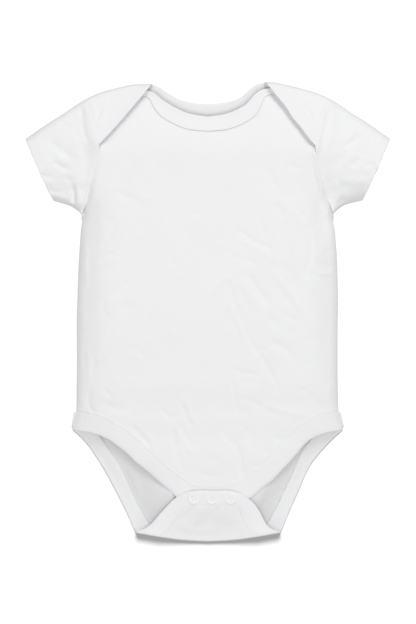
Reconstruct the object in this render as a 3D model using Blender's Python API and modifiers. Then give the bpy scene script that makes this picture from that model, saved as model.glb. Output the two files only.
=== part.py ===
"""Short-sleeved baby bodysuit with lap shoulders, lying on its back, its crotch snaps done up.

The underside lies on the plane z = 0.  +Y points to the neck, +X to the wearer's left, +Z up.
Every sheet of cloth is drawn as its outer face and then thickened inwards.
"""
import math
from collections import namedtuple

import bmesh
import bpy
from mathutils import Vector

for old in list(bpy.data.objects):
    bpy.data.objects.remove(old)
PARTS = bpy.data.collections.new("baby_bodysuit")
bpy.context.scene.collection.children.link(PARTS)

MM = 0.001                   # the tables and sizes below are in millimetres

# Cloth
CLOTH = 1.3                  # knitted body cloth
BINDING = 1.8                # rib strip folded over the edge
SEAM_GAP = 0.5               # between two sewn pieces' outer faces; their inner edges come nearer
HEM_DEPTH = 12.0             # turned-up sleeve hem, two layers thick

# How the garment lies
FOLD_HEIGHT = 4.2            # height of the outermost line of a fold
FOLD_REACH = 4.5             # the underside leaves the table this far inside a fold
ROLL_RISE = 4.0              # how much the upper cloth climbs in its first FOLD_REACH
LOFT_REACH = 34.0            # the upper cloth has levelled out this far inside a fold
SLEEVE_CROWN = 12.0          # height of a sleeve's middle
SLEEVE_START = 84.0          # the body's loft turns into the sleeve's between these two
SLEEVE_FULL = 118.0
LAP_RAISE = 2.2              # the shoulder laps lie this much above the front
LAP_FADE = 14.0              # and the sleeve comes down from them over this length
LAP_STEP = 5.2               # or over this length down the armhole, below a lap's corner
FLAP_RAISE = 2.4             # the crotch flap's edge lies this much above the tab
SNAP_RAISE = 1.7             # and this much more over the snaps
SNAP_REACH = 6.8             # level this far each side of the snaps
SNAP_FADE = 13.0             # and down again this far from them
FLAP_ROLL = 7.0              # the flap has turned level this far from the crotch fold
TAB_LEAN = 3.4               # the crotch tab and flap lie this far off the middle line
LEAN_START = -60.0           # the front leans from here down, and fully from LEAN_FULL
LEAN_FULL = -115.0
EDGE_LIP = 0.65              # narrow last strip of a panel, upright at the side seam
ONE_LAYER = 0.5              # a sleeve's wall as a share of its hem's, which has two layers

Outline = namedtuple("Outline", "x y")
Strip = namedtuple("Strip", "seam_x seam_y edge_x edge_y")
Crown = namedtuple("Crown", "y height")

# Half outlines, from the middle or the top outwards
SHOULDER_FOLD = [                       # neck point, shoulder, sleeve top, cuff
    Outline(46.5, 190.5),
    Outline(59.3, 189.8),
    Outline(77.0, 186.3),
    Outline(100.6, 178.4),
    Outline(126.0, 161.8),
    Outline(151.5, 144.0),
]
BODY_SIDE = [                           # lower cuff corner, underarm, side, leg corner
    Outline(128.7, 93.4),
    Outline(111.0, 87.4),
    Outline(105.4, 81.8),
    Outline(106.6, 68.0),
    Outline(108.3, 50.0),
    Outline(108.3, -60.0),
    Outline(109.1, -81.8),
    Outline(112.5, -97.5),
]
ARMHOLE = [                             # shoulder to underarm
    Outline(100.6, 178.4),
    Outline(95.4, 162.5),
    Outline(92.6, 148.5),
    Outline(90.2, 138.8),
    Outline(91.6, 127.0),
    Outline(95.6, 110.0),
    Outline(101.0, 92.0),
    Outline(105.4, 81.8),
]
CROTCH_FOLD = [                         # middle to the binding's outer corner
    Outline(0.0, -190.5),
    Outline(24.0, -189.0),
    Outline(40.5, -186.5),
    Outline(60.5, -183.0),
]
FRONT_NECK = [                          # middle to the armhole, the last three rows under the lap
    Strip(0.0, 150.6, 0.0, 163.1),
    Strip(17.8, 152.6, 16.5, 166.0),
    Strip(30.0, 157.6, 28.0, 170.4),
    Strip(41.0, 165.2, 36.5, 176.5),
    Strip(45.8, 171.5, 41.5, 181.5),
    Strip(51.0, 175.8, 48.5, 183.8),
    Strip(61.0, 175.6, 61.0, 182.6),
    Strip(77.0, 171.2, 78.5, 178.2),
    Strip(95.4, 162.5, 97.7, 169.6),
]
BACK_NECK = [                           # middle to the shoulder fold
    Strip(0.0, 160.6, 0.0, 173.1),
    Strip(18.0, 162.4, 14.9, 174.7),
    Strip(34.0, 168.6, 27.4, 178.9),
    Strip(44.0, 174.8, 35.7, 184.7),
    Strip(52.0, 182.0, 41.5, 188.8),
    Strip(59.3, 189.8, 46.5, 190.5),
]
LAP_EDGE = [                            # shoulder fold to the armhole, on the front
    Strip(59.3, 189.8, 46.5, 190.5),
    Strip(63.0, 186.2, 50.8, 184.6),
    Strip(73.0, 173.8, 62.0, 171.2),
    Strip(83.0, 160.8, 75.0, 155.6),
    Strip(92.6, 148.5, 90.2, 138.8),
]
FRONT_LEG = [                           # middle of the tab's end to the side seam
    Strip(0.0, -146.2, 0.0, -160.6),
    Strip(10.0, -146.0, 15.0, -160.2),
    Strip(18.0, -143.8, 25.5, -156.8),
    Strip(25.0, -139.3, 33.0, -151.3),
    Strip(32.0, -134.2, 43.0, -143.0),
    Strip(46.0, -122.4, 57.5, -130.5),
    Strip(61.0, -107.2, 70.5, -117.2),
    Strip(78.5, -93.4, 83.5, -105.8),
    Strip(94.0, -85.6, 97.0, -100.0),
    Strip(109.1, -81.8, 112.5, -97.5),
]
BACK_LEG = [                            # crotch fold to the side seam
    Strip(40.5, -186.5, 60.5, -183.0),
    Strip(48.6, -175.6, 63.9, -174.7),
    Strip(55.4, -164.0, 69.3, -161.4),
    Strip(64.0, -146.5, 78.3, -143.8),
    Strip(74.0, -126.0, 88.8, -124.9),
    Strip(86.5, -106.0, 100.8, -108.3),
    Strip(98.0, -92.5, 107.6, -101.6),
    Strip(109.1, -81.8, 112.5, -97.5),
]
FLAP_EDGE = [                           # crotch fold to the middle of the flap's end
    Strip(40.5, -186.5, 60.5, -183.0),
    Strip(33.4, -179.8, 50.0, -177.2),
    Strip(26.4, -169.0, 41.5, -166.0),
    Strip(21.8, -162.0, 33.0, -155.8),
    Strip(17.0, -160.4, 25.0, -150.0),
    Strip(11.0, -160.2, 15.0, -147.4),
    Strip(0.0, -160.2, 0.0, -147.3),
]
CROWNS = [                              # height of the front's middle down the body
    Crown(195.0, 10.5),
    Crown(163.0, 11.0),
    Crown(130.0, 14.0),
    Crown(70.0, 15.6),
    Crown(0.0, 16.0),
    Crown(-55.0, 14.2),
    Crown(-85.0, 11.8),
    Crown(-110.0, 10.2),
    Crown(-142.0, 8.4),
    Crown(-195.0, 8.4),
]

# Where the grids' columns and rows lie, as shares of a panel
FLAP_COLUMN = 0.30                      # the back's column that ends at the crotch fold's corner
LAP_COLUMN = 0.60                       # the back's column that ends at the lap's corner
FRONT_COLUMNS = [0.0, 0.09, 0.18, 0.27, 0.38, 0.49, 0.60, 0.72, 0.84, 0.92, 0.957, 0.975, 0.988]
BACK_COLUMNS = [0.0, 0.15, FLAP_COLUMN, 0.309, 0.325, 0.43, 0.56, 0.587, LAP_COLUMN, 0.618, 0.648, 0.72,
                0.84, 0.92, 0.957, 0.975, 0.988]
FRONT_START_ROW = 0.06                  # the front's top corner lies this far down the armhole
LAP_SEAM_ROW = 0.111                    # the lap's binding is sewn in between these two rows
LAP_EDGE_ROW = 0.147
UNDERARM_ROW = 0.36
FOLD_ROWS = [0.0, 0.0025, 0.0070, 0.0135]
ARM_ROWS = [0.03, FRONT_START_ROW, LAP_SEAM_ROW, LAP_EDGE_ROW, 0.19, 0.24, 0.30, 0.345, 0.356, UNDERARM_ROW]
SIDE_ROWS = [0.44, 0.55, 0.66, 0.76, 0.85, 0.93]
SLEEVE_ROWS = [0.0, 0.16, 0.34, 0.52, 0.70, 0.85, 1.0]
STRIP_SHARES = [0.36, 0.70, 1.0]        # a binding's lines between its seam and its edge
FLAP_ROWS = [0.0, 0.03, 0.09, 0.18, 0.28, 0.50, 0.75, 1.0]
FLAP_CORNER = 0.62                      # share of the flap's seam at the corner of its end
STEPS = 10                              # points that a smooth outline has for each row of its table
WELD = 0.01                             # points nearer than this are one point

# Snaps
SNAP_COUNT = 3
SNAP_SPACING = 15.2
SNAP_LINE = -154.0
RING_RADIUS = 4.75
RING_HOLE = 2.5
RING_HEIGHT = 0.9
SOCKET_RADIUS = 4.2
SOCKET_BORE = 1.9
SOCKET_HEIGHT = 1.0
STUD_NECK = 1.6
STUD_FLANGE = 0.5
STUD_RISE = 0.7
SNAP_BEVEL = 0.3
SNAP_SIDES = 18
SNAP_CLEAR = 0.15

COLOURS = {
    "cloth": (0.870, 0.872, 0.880, 1.0),
    "rib": (0.860, 0.862, 0.872, 1.0),
    "snap": (0.900, 0.900, 0.905, 1.0),
}
ROUGHNESS = {"cloth": 0.92, "rib": 0.88, "snap": 0.38}


# ---------------------------------------------------------------- curves

def turn_direction(before, here, after):
    """Unit tangent at a point, from its two neighbours weighed by nearness."""
    back = here - before
    ahead = after - here
    if back.length == 0:
        return ahead.normalized()
    if ahead.length == 0:
        return back.normalized()
    return (back.normalized() / back.length + ahead.normalized() / ahead.length).normalized()


def flow(points):
    """Points along a smooth curve through the given ones, STEPS to each span."""
    dense = []
    last = len(points) - 1
    for i in range(last):
        start = points[i]
        end = points[i + 1]
        span = (end - start).length
        leave = span * turn_direction(points[max(i - 1, 0)], start, end)
        arrive = span * turn_direction(start, end, points[min(i + 2, last)])
        for k in range(STEPS):
            t = k / STEPS
            dense.append(start * (2 * t ** 3 - 3 * t ** 2 + 1) + leave * (t ** 3 - 2 * t ** 2 + t)
                         + end * (3 * t ** 2 - 2 * t ** 3) + arrive * (t ** 3 - t ** 2))
    dense.append(points[last].copy())
    return dense


class Path:
    """A planar curve through close points, read by the share of its length."""

    def __init__(self, points):
        self.points = points
        self.lengths = [0.0]
        for a, b in zip(points, points[1:]):
            self.lengths.append(self.lengths[-1] + (b - a).length)

    def place(self, share):
        """The span that holds a share of the length, and how far along that span it lies."""
        target = min(max(share, 0.0), 1.0) * self.lengths[-1]
        i = 0
        while i < len(self.points) - 2 and self.lengths[i + 1] < target:
            i += 1
        return i, (target - self.lengths[i]) / (self.lengths[i + 1] - self.lengths[i])

    def at(self, share):
        i, part = self.place(share)
        return self.points[i].lerp(self.points[i + 1], part)

    def distance(self, x, y):
        here = Vector((x, y))
        best = None
        for a, b in zip(self.points, self.points[1:]):
            along = b - a
            part = min(max((here - a).dot(along) / along.length_squared, 0.0), 1.0)
            gap = (here - a - along * part).length
            if best is None or gap < best:
                best = gap
        return best


class Binding:
    """A strip between two curves: the seam that holds it and its free edge."""

    def __init__(self, rows):
        self.seam = Path(flow([Vector((row.seam_x, row.seam_y)) for row in rows]))
        self.edge = flow([Vector((row.edge_x, row.edge_y)) for row in rows])

    def across(self, share):
        """The strip's points at a share of its seam, from just off the seam to the free edge."""
        i, part = self.seam.place(share)
        seam = self.seam.points[i].lerp(self.seam.points[i + 1], part)
        edge = self.edge[i].lerp(self.edge[i + 1], part)
        start = SEAM_GAP / (edge - seam).length
        return [seam.lerp(edge, s) for s in [start] + STRIP_SHARES]


def stretch(rows, first, last):
    """The part of an outline between two of its rows, in either direction."""
    dense = flow([Vector((row.x, row.y)) for row in rows])
    if first <= last:
        return Path(dense[first * STEPS:last * STEPS + 1])
    return Path(dense[last * STEPS:first * STEPS + 1][::-1])


def joined(corner, first, second):
    """One boundary made of two paths, with their corner at a set share."""
    def at(share):
        if share <= corner:
            return first.at(share / corner)
        return second.at((share - corner) / (1 - corner))
    return at


SHOULDER = stretch(SHOULDER_FOLD, 0, 5)
SHOULDER_SEWN = stretch(SHOULDER_FOLD, 1, 3)         # from the neck binding to the armhole
SLEEVE_TOP = stretch(SHOULDER_FOLD, 3, 5)
SIDE = stretch(BODY_SIDE, 0, 7)
SIDE_SEAM = stretch(BODY_SIDE, 2, 6)
SLEEVE_BOTTOM = stretch(BODY_SIDE, 2, 0)
CUFF = Path([SLEEVE_TOP.points[-1], SLEEVE_BOTTOM.points[-1]])
ARM_SEAM = stretch(ARMHOLE, 0, 7)
LAP_ARM_SEAM = stretch(ARMHOLE, 0, 2)
CROTCH = stretch(CROTCH_FOLD, 0, 3)
CROTCH_SEWN = stretch(CROTCH_FOLD, 0, 2)             # the part between the bindings
NECK_FRONT = Binding(FRONT_NECK)
NECK_BACK = Binding(BACK_NECK)
LAP = Binding(LAP_EDGE)
LEG_FRONT = Binding(FRONT_LEG)
LEG_BACK = Binding(BACK_LEG)
FLAP = Binding(FLAP_EDGE)


# ---------------------------------------------------------------- heights

def ease(low, high, value):
    """0 below low, 1 above high, smooth between."""
    t = min(max((value - low) / (high - low), 0.0), 1.0)
    return t * t * (3 - 2 * t)


def swell(distance, reach):
    """0 with an upright start at a fold, 1 where the cloth has turned level."""
    left = 1 - min(distance / reach, 1.0)
    return math.sqrt(1 - left * left)


def crown_height(y):
    for upper, lower in zip(CROWNS, CROWNS[1:]):
        if y >= lower.y:
            return lower.height + (upper.height - lower.height) * ease(lower.y, upper.y, y)
    return CROWNS[-1].height


def fold_distance(x, y):
    """Distance from the outermost line of the shoulder, sleeve and side folds."""
    return min(SHOULDER.distance(abs(x), y), SIDE.distance(abs(x), y))


def underside(x, y):
    """Outer face of the cloth that lies on the table."""
    near = min(fold_distance(x, y), CROTCH.distance(abs(x), y))
    return FOLD_HEIGHT * (1 - swell(near, FOLD_REACH))


def upper_face(x, y):
    """Outer face of the front panel, its bindings and the sleeves' upper half."""
    near = fold_distance(x, y)
    body = crown_height(y)
    crown = body + (min(SLEEVE_CROWN, body) - body) * ease(SLEEVE_START, SLEEVE_FULL, abs(x))
    loft = 1 - (1 - min(near / LOFT_REACH, 1.0)) ** 2
    shoulder = FOLD_HEIGHT + ROLL_RISE
    return FOLD_HEIGHT + ROLL_RISE * swell(near, FOLD_REACH) + max(crown - shoulder, 0) * loft


def lap_face(x, y):
    """Outer face of the shoulder laps, which lie on the front."""
    return upper_face(x, y) + LAP_RAISE * swell(fold_distance(x, y), FOLD_REACH / 2)


def sleeve_face(x, y):
    """Upper half of a sleeve: sewn to the lap above its corner, and to the front below it."""
    corner = LAP_EDGE[-1].edge_y
    beside_lap = ease(corner - LAP_STEP, corner, y)
    fade = 1 - ease(0, LAP_FADE, ARM_SEAM.distance(abs(x), y))
    return upper_face(x, y) + (lap_face(x, y) - upper_face(x, y)) * beside_lap * fade


def flap_face(x, y):
    """Outer face of the crotch flap, from the fold up over the tab and its snaps."""
    over_snaps = 1 - ease(SNAP_REACH, SNAP_FADE, abs(y - SNAP_LINE))
    level = upper_face(x, y) + FLAP_RAISE + SNAP_RAISE * over_snaps
    return FOLD_HEIGHT + (level - FOLD_HEIGHT) * swell(CROTCH.distance(abs(x), y), FLAP_ROLL)


# ---------------------------------------------------------------- leaning of the crotch

def tab_lean(x, y):
    """Sideways shift of the front's lower middle, none at the side seams."""
    return TAB_LEAN * (1 - (x / BODY_SIDE[-1].x) ** 2) * (1 - ease(LEAN_FULL, LEAN_START, y))


def flap_lean(x, y):
    """Sideways shift of the flap, none at the crotch fold."""
    return TAB_LEAN * ease(CROTCH_FOLD[-1].y, SNAP_LINE, y)


def no_lean(x, y):
    return 0.0


# ---------------------------------------------------------------- grids of points

def four_sided(top, bottom, inner, outer, u, v):
    """A point inside four boundary curves, u outwards and v downwards."""
    ruled = top(u) * (1 - v) + bottom(u) * v + inner(v) * (1 - u) + outer(v) * u
    corners = (top(0) * (1 - u) + top(1) * u) * (1 - v) + (bottom(0) * (1 - u) + bottom(1) * u) * v
    return ruled - corners


def line(start, end):
    return Path([start, end]).at


def lifted(points, height, lean=no_lean):
    """Flat points moved sideways by their lean and up to a face."""
    placed = []
    for p in points:
        x = p.x + lean(p.x, p.y)
        placed.append(Vector((x, p.y, height(x, p.y))))
    return placed


def both_halves(half):
    """A row from the wearer's right to left, made from the half at +X, its middle point first."""
    return [Vector((-p.x, p.y)) for p in half[:0:-1]] + half


def panel_rows(top, bottom, inner, outer, columns, rows, first_row, height, lean, seam_step):
    """Rows of a body panel.  Its last two columns make the lip at the armhole and the side seam.

    seam_step is the direction in which this panel leaves the side seam: 1 up, -1 down.
    """
    grid = []
    for row in rows:
        v = (row - first_row) / (1 - first_row)
        half = [four_sided(top, bottom, inner, lambda s: outer(first_row + s * (1 - first_row)), u, v)
                for u in columns]
        at_side = row >= UNDERARM_ROW
        seam = outer(row)
        if at_side:
            half += [seam.copy(), seam]
        else:
            half += lip_points(half[-1], seam)
        points = lifted(both_halves(half), height, lean)
        if at_side:
            for end, inside in ((0, 1), (-1, -2)):
                points[end].z = FOLD_HEIGHT + seam_step * SEAM_GAP / 2
                points[inside].z = FOLD_HEIGHT + seam_step * (SEAM_GAP / 2 + EDGE_LIP)
        grid.append(points)
    return grid


def lip_points(inside, seam):
    """The last two points of a row that ends at the armhole."""
    end = seam - Vector((SEAM_GAP / 2, 0))
    return [end + (inside - end).normalized() * EDGE_LIP, end]


def strip_rows(stations, height, lean=no_lean):
    """Both halves of a binding from its stations at +X, the first of them at the middle."""
    left = [lifted(station, height, lean) for station in stations]
    mirrored = [[Vector((-p.x, p.y)) for p in station] for station in stations[:0:-1]]
    return [lifted(station, height, lean) for station in mirrored] + left


# ---------------------------------------------------------------- meshes

def add_grid(mesh, rows, flip=False, wrap=False):
    """Adds a grid of points to a mesh under construction; flip turns its outer face over."""
    verts = [[mesh.verts.new(p * MM) for p in row] for row in rows]
    for above, below in zip(verts, verts[1:]):
        for j in range(len(above) if wrap else len(above) - 1):
            k = (j + 1) % len(above)
            quad = [above[j], above[k], below[k], below[j]]
            mesh.faces.new(quad[::-1] if flip else quad)
    return verts


def material(name, kind):
    made = bpy.data.materials.new(name)
    made.use_nodes = True
    shader = made.node_tree.nodes["Principled BSDF"]
    shader.inputs["Base Color"].default_value = COLOURS[kind]
    shader.inputs["Roughness"].default_value = ROUGHNESS[kind]
    shader.inputs["Metallic"].default_value = 0.0
    made.diffuse_color = COLOURS[kind]
    return made


def add_object(name, mesh, kind):
    made = bpy.data.objects.new(name, mesh)
    made.data.materials.append(material(name, kind))
    PARTS.objects.link(made)
    return made


def sheet(name, grids, thickness, kind, weld=False):
    """An open surface, made of one or more grids, thickened inwards into cloth."""
    under_construction = bmesh.new()
    for rows, flip, wrap in grids:
        add_grid(under_construction, rows, flip, wrap)
    if weld:
        bmesh.ops.remove_doubles(under_construction, verts=under_construction.verts, dist=WELD * MM)
    mesh = bpy.data.meshes.new(name)
    under_construction.to_mesh(mesh)
    under_construction.free()
    mesh.shade_smooth()
    made = add_object(name, mesh, kind)
    wall = made.modifiers.new("wall", "SOLIDIFY")
    wall.thickness = thickness * MM
    wall.offset = -1.0
    return made


# ---------------------------------------------------------------- pieces

def make_front():
    outer = joined(UNDERARM_ROW, ARM_SEAM, SIDE_SEAM)
    inner = line(NECK_FRONT.seam.at(0), LEG_FRONT.seam.at(0))
    rows = [row for row in ARM_ROWS if row >= FRONT_START_ROW] + SIDE_ROWS + [1.0]
    grid = panel_rows(NECK_FRONT.seam.at, LEG_FRONT.seam.at, inner, outer, FRONT_COLUMNS, rows,
                      FRONT_START_ROW, upper_face, tab_lean, 1)
    return sheet("front_panel", [(grid, True, False)], CLOTH, "cloth")


def make_back():
    """The back with its two laps and its crotch flap, all in one piece of cloth."""
    top = joined(LAP_COLUMN, NECK_BACK.seam, SHOULDER_SEWN)
    bottom = joined(FLAP_COLUMN, CROTCH_SEWN, LEG_BACK.seam)
    outer = joined(UNDERARM_ROW, ARM_SEAM, SIDE_SEAM)
    inner = line(NECK_BACK.seam.at(0), CROTCH.at(0))
    rows = FOLD_ROWS + ARM_ROWS + SIDE_ROWS + [1 - row for row in FOLD_ROWS[::-1]]
    grid = panel_rows(top, bottom, inner, outer, BACK_COLUMNS, rows, 0.0, underside, no_lean, -1)
    half = len(BACK_COLUMNS) + 1
    lap_start = BACK_COLUMNS.index(LAP_COLUMN)
    flap_end = BACK_COLUMNS.index(FLAP_COLUMN)
    middle = half
    for j in range(middle + lap_start, middle + half + 1):
        grid[0][j].z = FOLD_HEIGHT
        grid[0][2 * middle - j].z = FOLD_HEIGHT
    for j in range(middle - flap_end, middle + flap_end + 1):
        grid[-1][j].z = FOLD_HEIGHT
    left_lap = lap_rows(grid[0][middle + lap_start:])
    right_lap = [[Vector((-p.x, p.y, p.z)) for p in row] for row in left_lap]
    flap = flap_rows(grid[-1][middle - flap_end:middle + flap_end + 1])
    grids = [(grid, False, False), (left_lap, True, False), (right_lap, False, False), (flap, False, False)]
    return sheet("back_panel", grids, CLOTH, "cloth", weld=True)


def lap_rows(fold_line):
    """The wearer's left lap, from the shoulder fold down to its binding; it narrows to a point."""
    corner = SHOULDER_SEWN.at(0)
    columns = [(u - LAP_COLUMN) / (1 - LAP_COLUMN) for u in BACK_COLUMNS if u >= LAP_COLUMN]
    rows = [fold_line]
    for row in FOLD_ROWS[1:] + [r for r in ARM_ROWS if r <= LAP_SEAM_ROW]:
        v = row / LAP_SEAM_ROW
        points = [four_sided(SHOULDER_SEWN.at, LAP.seam.at, lambda s: corner, LAP_ARM_SEAM.at, u, v)
                  for u in columns]
        points += lip_points(points[-1], ARM_SEAM.at(row / UNDERARM_ROW))
        placed = lifted(points, lap_face)
        placed[0] = fold_line[0].copy()
        rows.append(placed)
    return rows


def flap_rows(fold_line):
    """The crotch flap, from the fold up to its binding."""
    columns = [u / FLAP_COLUMN for u in BACK_COLUMNS if u <= FLAP_COLUMN]
    inner = line(CROTCH.at(0), FLAP.seam.at(1))
    rows = [fold_line]
    for v in FLAP_ROWS[1:]:
        half = [four_sided(CROTCH_SEWN.at, flap_end_seam, inner, flap_side_seam, u, v) for u in columns]
        rows.append(lifted(both_halves(half), flap_face, flap_lean))
    return rows


def flap_end_seam(share):
    return FLAP.seam.at(1 - share * (1 - FLAP_CORNER))


def flap_side_seam(share):
    return FLAP.seam.at(share * FLAP_CORNER)


def make_sleeve(name, side):
    """A tube from the armhole to the cuff, its hem turned in to two layers."""
    columns = [row / UNDERARM_ROW for row in FOLD_ROWS + ARM_ROWS]
    rows = []
    for v in SLEEVE_ROWS:
        flat = [four_sided(ARM_SEAM.at, CUFF.at, SLEEVE_TOP.at, SLEEVE_BOTTOM.at, u, v) for u in columns]
        if v == 0:
            flat = [p + Vector((SEAM_GAP / 2, 0)) for p in flat]
        upper = lifted(flat, sleeve_face)
        lower = lifted(flat[-2:0:-1], underside)
        upper[0].z = FOLD_HEIGHT
        upper[-1].z = FOLD_HEIGHT
        rows.append([Vector((side * p.x, p.y, p.z)) for p in upper + lower])
    made = sheet(name, [(rows, side < 0, True)], 2 * CLOTH, "cloth")
    layers = made.vertex_groups.new(name="layers")
    for vertex in made.data.vertices:
        from_cuff = CUFF.distance(abs(vertex.co.x) / MM, vertex.co.y / MM)
        layers.add([vertex.index], 1.0 if from_cuff <= HEM_DEPTH else ONE_LAYER, "REPLACE")
    made.modifiers["wall"].vertex_group = "layers"
    return made


def make_front_neck_binding():
    stations = [NECK_FRONT.across(share) for share in FRONT_COLUMNS + [1.0]]
    stations[-1] = [p - Vector((SEAM_GAP / 2, 0)) for p in stations[-1]]
    return sheet("front_neck_binding", [(strip_rows(stations, upper_face), True, False)], BINDING, "rib")


def make_back_neck_binding():
    """From one lap's corner round the back of the neck to the other's."""
    under = [NECK_BACK.across(u / LAP_COLUMN) for u in BACK_COLUMNS if u < LAP_COLUMN]
    under_rows = strip_rows(under, underside)
    fold = lifted(NECK_BACK.across(1.0), underside)
    for p in fold:
        p.z = FOLD_HEIGHT
    columns = [(u - LAP_COLUMN) / (1 - LAP_COLUMN) for u in BACK_COLUMNS if u > LAP_COLUMN]
    over = [LAP.across(share) for share in columns]
    last = LAP.across(1.0)
    over.append([p - Vector((SEAM_GAP / 2, 0)) for p in last])
    left = [fold] + [lifted(station, lap_face) for station in over]
    right = [[Vector((-p.x, p.y, p.z)) for p in row] for row in left]
    rows = right[::-1] + under_rows + left
    return sheet("back_neck_binding", [(rows, False, False)], BINDING, "rib")


def seam_ends(rows, seam_step):
    """Gives a leg binding's two ends their upright lip at the side seam."""
    for end in (rows[0], rows[-1]):
        for p in end:
            p.z = FOLD_HEIGHT + seam_step * SEAM_GAP / 2
    lips = []
    for end in (rows[0], rows[-1]):
        lips.append([p + Vector((0, 0, seam_step * EDGE_LIP)) for p in end])
    return [rows[0], lips[0]] + rows[1:-1] + [lips[1], rows[-1]]


def make_front_leg_binding():
    stations = [LEG_FRONT.across(share) for share in FRONT_COLUMNS + [1.0]]
    rows = seam_ends(strip_rows(stations, upper_face, tab_lean), 1)
    return sheet("front_leg_binding", [(rows, False, False)], BINDING, "rib")


def make_back_leg_binding():
    """From one side seam down the leg, round the crotch fold and the flap's edge, and up again."""
    flap_stations = [FLAP.across(1 - u / FLAP_COLUMN * (1 - FLAP_CORNER))
                     for u in BACK_COLUMNS if u <= FLAP_COLUMN]
    flap_stations += [FLAP.across(v * FLAP_CORNER) for v in FLAP_ROWS[-2:0:-1]]
    flap = strip_rows(flap_stations, flap_face, flap_lean)
    fold = lifted(FLAP.across(0.0), underside)
    for p in fold:
        p.z = FOLD_HEIGHT
    shares = [(u - FLAP_COLUMN) / (1 - FLAP_COLUMN) for u in BACK_COLUMNS if u > FLAP_COLUMN]
    under = [LEG_BACK.across(share) for share in shares + [1.0]]
    left = [fold] + [lifted(station, underside) for station in under]
    right = [[Vector((-p.x, p.y, p.z)) for p in row] for row in left]
    rows = seam_ends(right[::-1] + flap + left, -1)
    return sheet("back_leg_binding", [(rows, True, False)], BINDING, "rib")


def turned(name, profile, closed, place):
    """A round piece: a profile at +X, drawn down its outer side, turned about Z."""
    mesh = bpy.data.meshes.new(name)
    edges = [(i, i + 1) for i in range(len(profile) - 1)]
    if closed:
        edges.append((len(profile) - 1, 0))
    mesh.from_pydata([(r * MM, 0, z * MM) for r, z in profile], edges, [])
    made = add_object(name, mesh, "snap")
    made.location = place * MM
    screw = made.modifiers.new("turn", "SCREW")
    screw.steps = SNAP_SIDES
    screw.render_steps = SNAP_SIDES
    screw.use_merge_vertices = True
    screw.merge_threshold = WELD * MM
    screw.use_smooth_shade = False
    return made


def bevelled_ring(inner, outer, height):
    b = SNAP_BEVEL
    return [(inner, height - b), (inner + b, height), (outer - b, height), (outer, height - b), (outer, 0),
            (inner, 0)]


def make_snaps():
    for i in range(SNAP_COUNT):
        x = TAB_LEAN + (i - (SNAP_COUNT - 1) / 2) * SNAP_SPACING
        flap_top = flap_face(x, SNAP_LINE)
        tab_top = upper_face(x, SNAP_LINE)
        place = Vector((x, SNAP_LINE, 0))
        up = Vector((0, 0, 1))
        number = str(i + 1)
        ring = bevelled_ring(RING_HOLE, RING_RADIUS, RING_HEIGHT)
        turned("snap_ring_" + number, ring, True, place + up * (flap_top + SNAP_CLEAR))
        socket = bevelled_ring(SOCKET_BORE, SOCKET_RADIUS, SOCKET_HEIGHT)
        below_flap = flap_top - BINDING - SNAP_CLEAR - SOCKET_HEIGHT
        turned("snap_socket_" + number, socket, True, place + up * below_flap)
        stud = [(0, STUD_FLANGE + STUD_RISE), (STUD_NECK, STUD_FLANGE + STUD_RISE),
                (STUD_NECK, STUD_FLANGE), (SOCKET_RADIUS, STUD_FLANGE), (SOCKET_RADIUS, 0), (0, 0)]
        turned("snap_stud_" + number, stud, False, place + up * (tab_top + SNAP_CLEAR))
        below_tab = tab_top - BINDING - SNAP_CLEAR - RING_HEIGHT
        turned("snap_post_ring_" + number, ring, True, place + up * below_tab)


make_front()
make_back()
make_sleeve("sleeve_left", 1)
make_sleeve("sleeve_right", -1)
make_front_neck_binding()
make_back_neck_binding()
make_front_leg_binding()
make_back_leg_binding()
make_snaps()
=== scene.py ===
"""Looks of the short-sleeved baby bodysuit: knitted cloth, rib bindings, stitching and snaps.

The garment lies on its back on the plane z = 0, +Y to the neck, +X to the wearer's left.
Tables and sizes are in millimetres; points turn to metres when a mesh is made.
"""
import math
from collections import namedtuple

import bmesh
import bpy
import numpy as np
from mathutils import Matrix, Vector, noise


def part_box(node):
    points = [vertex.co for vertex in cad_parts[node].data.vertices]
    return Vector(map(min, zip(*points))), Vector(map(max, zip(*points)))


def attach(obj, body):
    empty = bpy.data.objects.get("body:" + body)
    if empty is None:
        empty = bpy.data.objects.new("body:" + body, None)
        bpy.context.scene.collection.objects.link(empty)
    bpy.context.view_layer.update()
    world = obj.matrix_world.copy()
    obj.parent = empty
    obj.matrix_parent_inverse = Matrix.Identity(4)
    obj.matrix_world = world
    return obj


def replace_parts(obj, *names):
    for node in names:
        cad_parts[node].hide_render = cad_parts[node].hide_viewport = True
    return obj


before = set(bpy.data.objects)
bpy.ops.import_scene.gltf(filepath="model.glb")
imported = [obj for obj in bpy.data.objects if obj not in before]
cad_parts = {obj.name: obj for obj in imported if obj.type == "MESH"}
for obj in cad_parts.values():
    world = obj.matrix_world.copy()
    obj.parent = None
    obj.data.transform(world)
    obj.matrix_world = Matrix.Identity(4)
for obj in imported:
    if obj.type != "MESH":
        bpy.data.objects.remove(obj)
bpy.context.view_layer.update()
MM = 0.001


def table(columns, *rows):
    """Rows whose columns are read by name."""
    row = namedtuple("Row", columns)
    return [row(*values) for values in rows]


# ---- the cut, as the solids have it

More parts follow.
